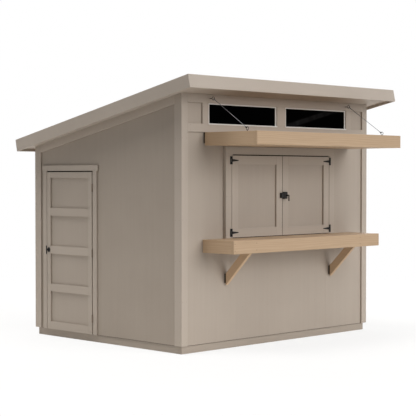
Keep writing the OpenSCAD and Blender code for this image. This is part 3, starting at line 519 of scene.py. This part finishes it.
# black pan head screws on the hinges, the latch and the door rose
screws = {"sides": 12, "radius": 0.0038, "height": 0.0016, "drive": 0.001, "strapAlong": (0.026, 0.054, 0.084),
          "plateAlong": 0.0175, "plateUp": (-0.033, 0.0, 0.033), "latchIn": 0.009, "hingeIn": 0.053,
          "roseReach": 0.016, "roseAngles": (0.785, 2.356, 3.927, 5.498), "rose": (-1.5655, 0.983, 1.007),
          "pinX": 0.82, "hingeY": -1.269, "latchY": -1.2905, "latchZ": 1.647}
leafLow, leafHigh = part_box("hatch_right_frame")
pinX, hingeY, latchY, latchZ = (screws[key] for key in ("pinX", "hingeY", "latchY", "latchZ"))
hingeZ = (leafLow.z + screws["hingeIn"], leafHigh.z - screws["hingeIn"])
front = (0, -1, 0)
plateSpots = [((side * (pinX + screws["plateAlong"]), hingeY, z + up), front)
              for side in (-1, 1) for z in hingeZ for up in screws["plateUp"]]
fasteners("hatchPlateScrews", plateSpots, screws, blackSteel, "shed")
# side, leaf, inner end, outer end and half height
latchPlates = ((-1, "hatch_left", 0.003, 0.041, 0.0295), (1, "hatch_right", 0.003, 0.06, 0.039))
for side, body, inner, outer, half in latchPlates:
    spots = [((side * (pinX - run), hingeY, z), front) for z in hingeZ for run in screws["strapAlong"]]
    inset = screws["latchIn"]
    spots += [((side * x, latchY, latchZ + up * (half - inset)), front)
              for x in (inner + inset, outer - inset) for up in (-1, 1)]
    fasteners(body + "Screws", spots, screws, blackSteel, body)
(roseX, roseY, roseZ), away = screws["rose"], screws["roseReach"]
roseSpots = [((roseX, roseY + away * math.cos(a), roseZ + away * math.sin(a)), (-1, 0, 0))
             for a in screws["roseAngles"]]
fasteners("doorRoseScrews", roseSpots, screws, blackSteel, "door")

# pine plugs over the screws in the counter's front board, and steel screws in the awning boards
plugs = {"sides": 12, "radius": 0.0055, "height": 0.0003, "drive": 0.00005, "upFromEdge": 0.034,
         "along": (-1.206, -0.876, 0.876, 1.206)}
awningScrews = {"sides": 8, "radius": 0.004, "height": 0.0008, "drive": 0.0005, "along": (-1.15, 0.0, 1.15),
                "planks": 5}
low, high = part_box("counter_frame")
barSpots = [((x, low.y, z), front) for x in plugs["along"]
            for z in (low.z + plugs["upFromEdge"], high.z - plugs["upFromEdge"])]
fasteners("boardPlugs", barSpots, plugs, barWood, "shed")
low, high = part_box("awning_boards")
rows = [low.y + (high.y - low.y) * (i + part) / awningScrews["planks"] for i in range(awningScrews["planks"])
        for part in (0.25, 0.75)]
boardSpots = [((x, y, z), (0, 0, way)) for x in awningScrews["along"] for y in rows
              for z, way in ((low.z, -1), (high.z, 1))]
fasteners("awningBoardScrews", boardSpots, awningScrews, zinc, "shed")

# painted nail heads: along the trim boards, and up the studs behind each sheet of siding
faceY, faceX = 1.2285, 1.5335  # how far the outer faces of the siding lie from the middle
for outward, reach in (((0, -1, 0), faceY), ((0, 1, 0), faceY), ((-1, 0, 0), faceX), ((1, 0, 0), faceX)):
    out = Vector(outward)
    sideways = out.cross(Vector((0, 0, 1)))
    for column in nailRule["columns"]:
        for row in range(nailRule["rows"]):
            studs = column + 0.5 * (column < 0) - 0.5 * (column > 0)
            up = nailRule["sheetFrom"] + row * nailRule["sheetPitch"]
            nailSpots.append((out * reach + sideways * studs * nailRule["studPitch"] + Vector((0, 0, up)), out))
bpy.context.view_layer.update()
seenFrom = bpy.context.evaluated_depsgraph_get()
shownNails = []
for spot, outward in nailSpots:  # only where the board's face is bare
    hit, place, normal, face, board, turned = scene.ray_cast(seenFrom, spot + outward * nailRule["seek"], -outward,
                                                             distance=nailRule["seekFar"])
    tip, slack = spot + outward * nailRule["height"], nailRule["slack"]
    inside = all(low - slack < c < high + slack for low, c, high in zip(lowCad, tip, highCad))
    if hit and inside and (place - spot).length < nailRule["flush"] and normal.dot(outward) > nailRule["square"]:
        if slotOf.get(board.name.split(".")[0]) == "painted_timber":
            shownNails.append((place, tuple(outward)))
fasteners("paintedNails", shownNails, nailRule, houseCoat, "shed")
print("fasteners set, painted nails:", len(shownNails))

# wire ropes of the awning: six strands laid round each other, with an eye and a crimped sleeve at both ends
rope = {"radius": 0.0026, "strands": 6, "strandRadius": 0.00105, "nested": 0.62, "lay": 0.034, "step": 0.0022,
        "eyeWide": 0.0088, "sleeveFrom": 0.031, "sleeveLong": 0.028, "sleeveWide": 0.006, "sleeveThick": 0.0039,
        "sleeveSides": 20, "tailIn": 0.7, "tubeTo": 0.036, "wallEye": (1.136, -1.2975, 2.6838),
        "awningEye": (1.136, -1.7935, 2.35628)}
ropeTree, add, given = shapeTree("laidRope", {"Rope Radius": 0.002, "Strand Radius": 0.001, "Lay Length": 0.03,
        "Step": 0.002, "Finish": None})
path = add("GeometryNodeMeshToCurve", {"Mesh": given["Carrier"]})
even = add("GeometryNodeResampleCurve", {"Curve": path, "Length": given["Step"]}, mode="LENGTH")
copies = add("GeometryNodeDuplicateElements", {"Geometry": even, "Amount": rope["strands"]}, domain="SPLINE")
reached = add("GeometryNodeSplineParameter").outputs["Length"]
turns = add("ShaderNodeMath", {0: reached, 1: given["Lay Length"]}, operation="DIVIDE")
started = add("ShaderNodeMath", {0: copies.outputs["Duplicate Index"], 1: 1 / rope["strands"], 2: turns},
        operation="MULTIPLY_ADD")
angle = add("ShaderNodeMath", {0: started, 1: 2 * math.pi}, operation="MULTIPLY")
cosine = add("ShaderNodeMath", {0: angle}, operation="COSINE")
sine = add("ShaderNodeMath", {0: angle}, operation="SINE")
normal = add("GeometryNodeInputNormal")
tangent = add("GeometryNodeInputTangent")
beside = add("ShaderNodeVectorMath", {0: tangent, 1: normal}, operation="CROSS_PRODUCT")
firstPart = add("ShaderNodeVectorMath", {0: normal, "Scale": cosine}, operation="SCALE")
otherPart = add("ShaderNodeVectorMath", {0: beside, "Scale": sine}, operation="SCALE")
radial = add("ShaderNodeVectorMath", {0: firstPart, 1: otherPart}, operation="ADD")
laid = add("ShaderNodeVectorMath", {0: radial, "Scale": given["Rope Radius"]}, operation="SCALE")
strand = add("GeometryNodeSetPosition", {"Geometry": copies, "Offset": laid})
wire = add("GeometryNodeCurvePrimitiveCircle", {"Resolution": 6, "Radius": given["Strand Radius"]})
twisted = add("GeometryNodeCurveToMesh", {"Curve": strand, "Profile Curve": wire, "Fill Caps": True})
smooth = add("GeometryNodeSetShadeSmooth", {0: twisted})
endTree(add, smooth, given["Finish"])

pathPoints, pathEdges, sleeves, eyeRuns = [], [], [], []
for side in (-1, 1):
    start, end = (Vector((side * x, y, z)) for x, y, z in (rope["wallEye"], rope["awningEye"]))
    down = (end - start).normalized()
    sideways = Vector((1, 0, 0))
    wide, tail = rope["eyeWide"], rope["sleeveFrom"] + rope["sleeveLong"] * rope["tailIn"]
    eye = [(0.0026, tail), (0.0027, 0.037), (0.0042, 0.031), (0.0078, 0.025), (wide, 0.019), (wide * 0.8, 0.0135),
           (wide * 0.42, 0.0113), (0, 0.0108), (-wide * 0.42, 0.0113), (-wide * 0.8, 0.0135), (-wide, 0.019),
           (-0.0078, 0.025), (-0.0042, 0.031), (-0.0027, 0.037), (-0.0026, 0.052), (-0.0014, 0.064),
           (0, 0.078)]  # how far across, and how far down the rope
    points = [start + sideways * x + down * d for x, d in eye]
    points += [end + sideways * -x - down * d for x, d in reversed(eye)]
    eyeRuns.append([end + sideways * x - down * d for x, d in eye if d < rope["tubeTo"]])
    first = len(pathPoints)
    pathPoints += points
    pathEdges += [(first + i, first + i + 1) for i in range(len(points) - 1)]
    sleeves += [(start + down * (rope["sleeveFrom"] + rope["sleeveLong"] / 2), down),
                (end - down * (rope["sleeveFrom"] + rope["sleeveLong"] / 2), down)]
carrier = bpy.data.meshes.new("wireRopes")
carrier.from_pydata(pathPoints, pathEdges, [])
ropes = grown("wireRopes", carrier, ropeTree, {"Rope Radius": rope["radius"] - rope["strandRadius"] * rope["nested"],
              "Strand Radius": rope["strandRadius"], "Lay Length": rope["lay"], "Step": rope["step"],
              "Finish": zinc}, "shed")
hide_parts("awning_cables")
mesh, sides = bmesh.new(), rope["sleeveSides"]
around = [2 * math.pi * k / sides for k in range(sides)]
profile = [(-0.5, 0.0), (-0.5, 0.78), (-0.44, 0.98), (-0.3, 1.0), (-0.22, 0.9), (-0.12, 1.0), (-0.04, 0.9),
           (0.04, 0.9), (0.12, 1.0), (0.22, 0.9), (0.3, 1.0), (0.44, 0.98), (0.5, 0.78),
           (0.5, 0.0)]  # how far along the sleeve, and how full
for middle, down in sleeves:
    flat = Vector((1, 0, 0)).cross(down)
    rings = []
    for run, swell in profile:
        centre = middle + down * run * rope["sleeveLong"]
        if swell == 0.0:
            rings.append([mesh.verts.new(centre)])
            continue
        rings.append([mesh.verts.new(centre + Vector((1, 0, 0)) * rope["sleeveWide"] * swell * math.cos(a) +
                      flat * rope["sleeveThick"] * swell * math.sin(a)) for a in around])
    for low, high in zip(rings, rings[1:]):
        for k in range(sides):
            corners = [low[k % len(low)], low[(k + 1) % len(low)], high[(k + 1) % len(high)], high[k % len(high)]]
            mesh.faces.new(dict.fromkeys(corners))  # only three corners at the ends
bmesh.ops.recalc_face_normals(mesh, faces=mesh.faces)
for face in mesh.faces:
    face.smooth = True
sleeveMesh = bpy.data.meshes.new("ropeSleeves")
mesh.to_mesh(sleeveMesh)
mesh.free()
sleeveMesh.materials.append(zinc)
ropeSleeves = inScene("ropeSleeves", sleeveMesh)
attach(ropeSleeves, "shed")
print("wire ropes laid")

# foam rubber strips as painted shade: black strips put in the gaps over, under and between the hatch leaves, over the
# side door, behind the awning's ends and beside the brace feet, and a painted shadow line under the siding; black tube
# over the lower rope eyes; a painted stop and bead in the side door's hinge gap, and painted caulk in the joints
# between the sheets of siding
stripsAndPaintedShade = {"reach": 0.8, "headWide": 0.0078, "footWide": 0.0068, "faceIn": 0.0054, "lip": 0.003, "lipUp": 0.0082,
         "meeting": 0.0048, "meetOff": 0.0003, "meetIn": 0.0008, "meetShort": 0.002, "door": 0.0125,
         "doorOff": 0.0008, "doorUp": 0.0007, "packing": 0.0092, "packIn": 0.006, "packFrom": 0.024,
         "foot": 0.0057, "footAt": (0.8601, 0.8919), "footOut": 0.52, "footFrom": 0.022, "footTo": 0.122,
         "skirt": 0.0029, "skirtIn": 0.6, "skirtTop": 0.0838, "skirtShort": 0.0065, "eyeTube": 0.0066,
         "corner": 0.0012, "short": 0.001, "spare": 0.0001}
gapTrim = {"stop": 0.004, "stopX": -1.5265, "stopOut": 0.0106, "stopUp": 0.012, "stopShade": 0.5, "bead": 0.008,
           "beadX": -1.545, "beadOut": 0.014, "beadShade": 0.62,
           "betweenHinges": ((0.0845, 0.2155), (0.3085, 0.95), (1.043, 1.6845), (1.7775, 1.922))}
caulk = {"wide": 0.0014, "deepIn": 0.0009, "shade": 0.53, "paintedShadeLeft": 0.3, "frontX": 0.80175,
         "frontRuns": ((0.0845, 1.19), (2.075, 2.371)), "levelRun": (0.81, 1.533, 2.37203),
         "leftRuns": ((0.19075, 1.925, 2.436), (1.02825, 1.925, 2.265))}
sealTree, add, given = shapeTree("sealStrips", {"Width": 0.006, "Height": 0.006, "Corner": 0.001, "Finish": None})
path = add("GeometryNodeMeshToCurve", {"Mesh": given["Carrier"]})
section = add("GeometryNodeCurvePrimitiveQuadrilateral", {"Width": given["Width"], "Height": given["Height"]},
        mode="RECTANGLE")
eased = add("GeometryNodeFilletCurve", {"Curve": section, "Radius": given["Corner"], "Count": 2}, mode="POLY")
strip = add("GeometryNodeCurveToMesh", {"Curve": path, "Profile Curve": eased, "Fill Caps": True})
endTree(add, strip, given["Finish"])


def sealStrips(name, runs, size, shade=None, body="shed"):  # painted where it has a shade, else rubber
    finish, slot = (rubberAndPaintedShadeCoat, "black_steel") if shade is None else (houseCoat, "painted_timber")
    points, edges = [], []
    for run in runs:
        edges += [(len(points) + i, len(points) + i + 1) for i in range(len(run) - 1)]
        points += run
    carrier = bpy.data.meshes.new(name)
    carrier.from_pydata(points, edges, [])
    tones = [0.5 if shade is None else shade] * len(points)
    carrier.attributes.new("boardTone", "FLOAT", "POINT").data.foreach_set("value", tones)
    return grown(name, carrier, sealTree, {"Width": size, "Height": size, "Corner": min(stripsAndPaintedShade["corner"], size / 3),
                 "Finish": finish}, body)


def upRun(x, y, low, high):  # a strip's path straight up
    return (x, y, low), (x, y, high)


short, spare = stripsAndPaintedShade["short"], stripsAndPaintedShade["spare"]
leafFace, lipY = leafLow.y + stripsAndPaintedShade["faceIn"], leafLow.y - stripsAndPaintedShade["lip"] / 2 - spare
# painted shade: black strips in the gaps over and under the hatch leaves, and a black lip over the head gap
for name, y, z, size in (("headSeal", leafFace, leafHigh.z + stripsAndPaintedShade["headWide"] / 2 + spare, stripsAndPaintedShade["headWide"]),
                         ("footSeal", leafFace, leafLow.z - stripsAndPaintedShade["footWide"] / 2 - spare, stripsAndPaintedShade["footWide"]),
                         ("headLip", lipY, leafHigh.z + stripsAndPaintedShade["lipUp"] + stripsAndPaintedShade["lip"] / 2, stripsAndPaintedShade["lip"])):
    sealStrips(name, [((-stripsAndPaintedShade["reach"], y, z), (stripsAndPaintedShade["reach"], y, z))], size)
# painted shade: a black strip in the gap between the hatch leaves
meetY, meetShort = leafLow.y + stripsAndPaintedShade["meeting"] / 2 + stripsAndPaintedShade["meetIn"], stripsAndPaintedShade["meetShort"]
sealStrips("meetingSeal", [upRun(stripsAndPaintedShade["meetOff"], meetY, leafLow.z + meetShort, leafHigh.z - meetShort)],
           stripsAndPaintedShade["meeting"], body="hatch_right")
doorLow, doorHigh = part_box("door_frame")
# painted shade: a black strip over the side door
doorX, doorZ = -faceX - stripsAndPaintedShade["door"] / 2 - stripsAndPaintedShade["doorOff"], doorHigh.z + stripsAndPaintedShade["door"] / 2 + stripsAndPaintedShade["doorUp"]
sealStrips("doorSeal", [((doorX, doorLow.y + short, doorZ), (doorX, doorHigh.y - short, doorZ))], stripsAndPaintedShade["door"])
stopRows = [doorLow.y - gapTrim["stopOut"] + row * (gapTrim["stop"] + spare) for row in range(3)]
sealStrips("doorStop", [upRun(gapTrim["stopX"], y, doorLow.z + short, doorHigh.z + gapTrim["stopUp"])
                        for y in stopRows], gapTrim["stop"], gapTrim["stopShade"])
beadY = doorLow.y - gapTrim["beadOut"] + gapTrim["bead"] / 2 + spare
sealStrips("casingBead", [upRun(gapTrim["beadX"], beadY, *ends) for ends in gapTrim["betweenHinges"]],
           gapTrim["bead"], gapTrim["beadShade"])
# painted shadow: a black line under the siding's lower edge
sideIn, endIn = (face - stripsAndPaintedShade["skirt"] * stripsAndPaintedShade["skirtIn"] for face in (faceX, faceY))
sideEnd, frontEnd = (face - stripsAndPaintedShade["skirtShort"] for face in (faceY, faceX))
skirtZ = stripsAndPaintedShade["skirtTop"] - stripsAndPaintedShade["skirt"] / 2
skirtRuns = [((side * sideIn, -sideEnd, skirtZ), (side * sideIn, sideEnd, skirtZ)) for side in (1, -1)]
skirtRuns += [((-frontEnd, side * endIn, skirtZ), (frontEnd, side * endIn, skirtZ)) for side in (1, -1)]
sealStrips("skirtSeal", skirtRuns, stripsAndPaintedShade["skirt"])
# painted shade: black strips in the gaps behind the awning's ends
awningLow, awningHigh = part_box("awning_frame")
gapRows = [-faceY - stripsAndPaintedShade["packing"] / 2 - spare, awningHigh.y + stripsAndPaintedShade["packing"] / 2 + spare]
gapRuns = [upRun(side * (awningHigh.x - stripsAndPaintedShade["packIn"]), y, awningLow.z + stripsAndPaintedShade["packFrom"], awningHigh.z - short)
           for side in (-1, 1) for y in gapRows]
sealStrips("awningPacking", gapRuns, stripsAndPaintedShade["packing"])
# painted shade: black strips in the gaps beside the brace feet
footLow, footHigh = (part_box("counter_braces")[0].z + stripsAndPaintedShade[end] for end in ("footFrom", "footTo"))
footRows = [-faceY - stripsAndPaintedShade["foot"] * stripsAndPaintedShade["footOut"] - row * (stripsAndPaintedShade["foot"] + spare) for row in range(3)]
footRuns = [upRun(side * x, y, footLow, footHigh) for side in (-1, 1) for x in stripsAndPaintedShade["footAt"] for y in footRows]
sealStrips("bracePacking", footRuns, stripsAndPaintedShade["foot"])
sealStrips("eyeTubes", eyeRuns, stripsAndPaintedShade["eyeTube"])
inFront, inLeft = caulk["deepIn"] - faceY, caulk["deepIn"] - faceX
inner, outer, z = caulk["levelRun"]
frontJoints = [upRun(side * caulk["frontX"], inFront, *ends) for side in (-1, 1) for ends in caulk["frontRuns"]]
frontJoints += [((side * inner, inFront, z), (side * outer, inFront, z)) for side in (-1, 1)]
sealStrips("frontCaulk", frontJoints, caulk["wide"], caulk["shade"])
# the left caulk takes the left siding's darker tone, which is painted shade
sealStrips("leftCaulk", [upRun(inLeft, *run) for run in caulk["leftRuns"]], caulk["wide"], caulk["paintedShadeLeft"])
print("rubber strips and caulk set")

# roof: courses of three tab shingles on the deck, each course lapping the one below, joints staggered by half a tab
roof = {"width": 3.418, "from": -0.316, "to": 2.64635, "tabsAcross": 11, "courses": 21, "butt": 0.002,
        "head": 0.0004, "slot": 0.004, "bed": 0.10005, "slab": 0.0009, "frontY": -1.219, "frontZ": 2.734,
        "pitchDegrees": 11.7683, "leastTab": 0.01, "seed": 7}
roofTree, add, given = shapeTree("shingleCourses", {"Width": 3.0, "Slope Length": 3.0, "Tabs Across": 10, "Courses": 20,
        "Butt Height": 0.002, "Head Height": 0.0004, "Slot": 0.004, "Slab": 0.001, "Seed": 7, "Place": (0, 0, 0),
        "Pitch": (0, 0, 0), "Finish": None})
# where the tabs go: each row's name stands for the operation on the inputs and the results before it
made = {**dict(given.items()), "index": add("GeometryNodeInputIndex")}
for name, operation, *parts in (
        ("perCourse", "ADD", "Tabs Across", 1.0), ("total", "MULTIPLY", "perCourse", "Courses"),
        ("column", "MODULO", "index", "perCourse"), ("climbed", "DIVIDE", "index", "perCourse"),
        ("row", "FLOOR", "climbed"), ("odd", "MODULO", "row", 2.0), ("tabWide", "DIVIDE", "Width", "Tabs Across"),
        ("course", "DIVIDE", "Slope Length", "Courses"), ("shifted", "MULTIPLY_ADD", "odd", -0.5, "column"),
        ("fromLeft", "MULTIPLY", "shifted", "tabWide"), ("leftEnd", "MAXIMUM", "fromLeft", 0.0),
        ("fullRight", "ADD", "fromLeft", "tabWide"), ("rightEnd", "MINIMUM", "fullRight", "Width"),
        ("wide", "SUBTRACT", "rightEnd", "leftEnd"), ("cut", "SUBTRACT", "wide", "Slot"),
        ("ends", "ADD", "rightEnd", "leftEnd"), ("centred", "SUBTRACT", "ends", "Width"),
        ("middle", "MULTIPLY", "centred", 0.5), ("rowMiddle", "ADD", "row", 0.5),
        ("downSlope", "MULTIPLY", "rowMiddle", "course"), ("halfLong", "MULTIPLY", "Slope Length", 0.5),
        ("halfSlab", "MULTIPLY", "Slab", 0.5)):
    made[name] = add("ShaderNodeMath", {i: made.get(p, p) for i, p in enumerate(parts)}, operation=operation)
tabs = add("GeometryNodePoints", {"Count": made["total"]})
spot = add("ShaderNodeCombineXYZ", {0: made["middle"], 1: made["downSlope"], 2: given["Slab"]})
placed = add("GeometryNodeSetPosition", {"Geometry": tabs, "Position": spot})
block = add("GeometryNodeMeshCube", {"Size": (1, 1, 1)})
corner = add("ShaderNodeSeparateXYZ", {0: add("GeometryNodeInputPosition")})
isTop = add("ShaderNodeMath", {0: corner.outputs[2], 1: 0.0}, operation="GREATER_THAN")
slopeUp = add("ShaderNodeMapRange", {"Value": corner.outputs[1], "From Min": -0.5, "From Max": 0.5,
        "To Min": given["Head Height"], "To Max": given["Butt Height"]})
topOnly = add("ShaderNodeMath", {0: isTop, 1: slopeUp}, operation="MULTIPLY")
wedged = add("ShaderNodeCombineXYZ", {0: corner, 1: corner.outputs[1], 2: topOnly})
wedge = add("GeometryNodeSetPosition", {"Geometry": block, "Position": wedged})
stretch = add("ShaderNodeCombineXYZ", {0: made["cut"], 1: made["course"], 2: 1.0})
wideEnough = add("FunctionNodeCompare", {0: made["cut"], 1: roof["leastTab"]}, operation="GREATER_THAN")
laidTabs = add("GeometryNodeInstanceOnPoints", {"Points": placed, "Selection": wideEnough, "Instance": wedge,
        "Scale": stretch})
chance = add("FunctionNodeRandomValue", {"Seed": given["Seed"]}, data_type="FLOAT")
toned = add("GeometryNodeStoreNamedAttribute", {"Geometry": laidTabs, "Name": "tabTone", "Value": chance.outputs[1]},
        data_type="FLOAT", domain="INSTANCE")
slabSize = add("ShaderNodeCombineXYZ", {0: given["Width"], 1: given["Slope Length"], 2: given["Slab"]})
slab = add("GeometryNodeMeshCube", {"Size": slabSize})
slabMiddle = add("ShaderNodeCombineXYZ", {1: made["halfLong"], 2: made["halfSlab"]})
slabPlaced = add("GeometryNodeTransform", {"Geometry": slab, "Translation": slabMiddle})
joined = add("GeometryNodeJoinGeometry", {0: toned})
plug(joined, {0: slabPlaced})
onRoof = add("GeometryNodeTransform", {"Geometry": joined, "Translation": given["Place"], "Rotation": given["Pitch"]})
endTree(add, onRoof, given["Finish"])
slope = math.radians(roof["pitchDegrees"])
roofPlace = (0, roof["frontY"] + roof["from"] * math.cos(slope) + roof["bed"] * math.sin(slope),
             roof["frontZ"] - roof["from"] * math.sin(slope) + roof["bed"] * math.cos(slope))
carrier = bpy.data.meshes.new("roofShingles")
carrier.from_pydata([(0, 0, 0)], [], [])
shingles = grown("roofShingles", carrier, roofTree, {"Width": roof["width"], "Slope Length": roof["to"] - roof["from"],
                 "Tabs Across": roof["tabsAcross"], "Courses": roof["courses"], "Butt Height": roof["butt"],
                 "Head Height": roof["head"], "Slot": roof["slot"], "Slab": roof["slab"], "Seed": roof["seed"],
                 "Place": roofPlace, "Pitch": (-slope, 0, 0), "Finish": shingle}, "shed")
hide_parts("roofing")
print("roof shingled")

for name, material in {"window_glass": pane, "door_rose": blackSteel, "door_handle": blackSteel,
                       "hatch_hinge_plates": blackSteel, "hatch_left_hardware": blackSteel,
                       "hatch_right_hardware": blackSteel, "latch_lever": blackSteel, "screw_eyes": darkZinc,
                       "door_hinge_plates": houseCoat, "door_hinge_leaves": houseCoat}.items():
    nodes[name].data.materials.clear()
    nodes[name].data.materials.append(material)
print("steel and glass finished")

# camera: a long lens at standing height off the front left corner
shot = {"place": (-10.5279, -10.6276, 1.8685), "turn": 44.9495, "tilt": -1.4831, "lens": 108.211}
cameraData = bpy.data.cameras.new("camera")
cameraData.lens = shot["lens"]
cameraData.sensor_width = 36.0
cameraData.clip_end = 200.0
camera = inScene("camera", cameraData)
camera.location = shot["place"]
camera.rotation_euler = (math.radians(90 + shot["tilt"]), 0, math.radians(-shot["turn"]))
scene.camera = camera

# plain pale floor that fades into the white surround and keeps a light shadow
ground = {"radius": 9.0, "sides": 96, "fadeFrom": 3.5, "fadeTo": 8.5, "level": -0.0005, "colour": "#efede9",
          "shadowPart": 0.2}
floorMesh = bpy.data.meshes.new("studioFloor")
turnOf = [2 * math.pi * i / ground["sides"] for i in range(ground["sides"])]
floorMesh.from_pydata([(ground["radius"] * math.cos(a), ground["radius"] * math.sin(a), ground["level"])
                       for a in turnOf], [], [tuple(range(ground["sides"]))])
studioFloor = inScene("studioFloor", floorMesh)
floorMaterial, add, shader = newMaterial("paleStudioFloor")
floorNodes = floorMaterial.node_tree.nodes
floorNodes.remove(shader)
place = add("ShaderNodeTexCoord").outputs["Object"]
reach = add("ShaderNodeVectorMath", {0: place}, operation="LENGTH")
fade = add("ShaderNodeMapRange", {"Value": reach.outputs["Value"], "From Min": ground["fadeFrom"],
        "From Max": ground["fadeTo"]})
ray = add("ShaderNodeLightPath")
matt = add("ShaderNodeBsdfDiffuse", {"Color": linearOf(ground["colour"])})
glow = add("ShaderNodeEmission", {"Color": (1, 1, 1, 1), "Strength": 1.0})
seenOnly = add("ShaderNodeMath", {0: ray.outputs["Is Camera Ray"], 1: 1 - ground["shadowPart"]}, operation="MULTIPLY")
whitened = add("ShaderNodeMixShader", {0: seenOnly, 1: matt, 2: glow})
clear = add("ShaderNodeBsdfTransparent")
blend = add("ShaderNodeMixShader", {0: fade, 1: whitened, 2: clear})
plug(floorNodes["Material Output"], {"Surface": blend})
floorMesh.materials.append(floorMaterial)
studioFloor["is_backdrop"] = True

# soft studio light: a faint dome and wide soft lamps round the object, strongest in front and high on the left
light = {"dome": 0.02}
lamps = {"highLeft": {"power": 1.24, "spread": 36, "from": (-1, 0.4, 2.5)},
         "steepLeft": {"power": 0.66, "spread": 16, "from": (-1, 0.4, 4.5)},
         "leftLow": {"power": 0.4, "spread": 50, "from": (-1, -0.1, 0.15)},
         "front": {"power": 1.27, "spread": 56, "from": (0.2, -1, 1.05)},
         "frontLow": {"power": 1.2, "spread": 30, "from": (0.3, -1, 0.28)},
         "steepFront": {"power": 0.15, "spread": 30, "from": (0, -1, 3)},
         "right": {"power": 1.1, "spread": 60, "from": (1, 0.35, 0.5)},
         "back": {"power": 1.1, "spread": 50, "from": (0.4, 1, 0.6)}}
world = bpy.data.worlds.new("softDome")
scene.world = world
world.use_nodes = True
world.node_tree.nodes.clear()
add = partial(addNode, world.node_tree)
ray = add("ShaderNodeLightPath")
mirrored = add("ShaderNodeMath", {0: ray.outputs["Is Camera Ray"], 1: ray.outputs["Is Glossy Ray"]},
        operation="MAXIMUM")
seen = add("ShaderNodeMath", {0: mirrored, 1: ray.outputs["Is Transmission Ray"]}, operation="MAXIMUM")
dome = add("ShaderNodeBackground", {"Color": (1, 1, 1, 1), "Strength": light["dome"]})
white = add("ShaderNodeBackground", {"Color": (1, 1, 1, 1), "Strength": 1.0})
blend = add("ShaderNodeMixShader", {0: seen, 1: dome, 2: white})
add("ShaderNodeOutputWorld", {"Surface": blend})
for lamp, held in lamps.items():
    sunData = bpy.data.lights.new(lamp + "Lamp", "SUN")
    sunData.energy = held["power"]
    sunData.angle = math.radians(held["spread"])
    sun = inScene(lamp + "Lamp", sunData)
    sun.rotation_euler = Vector(held["from"]).to_track_quat("Z", "Y").to_euler()
scene.view_settings.view_transform = "Standard"
print("camera and studio light set")

low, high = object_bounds()
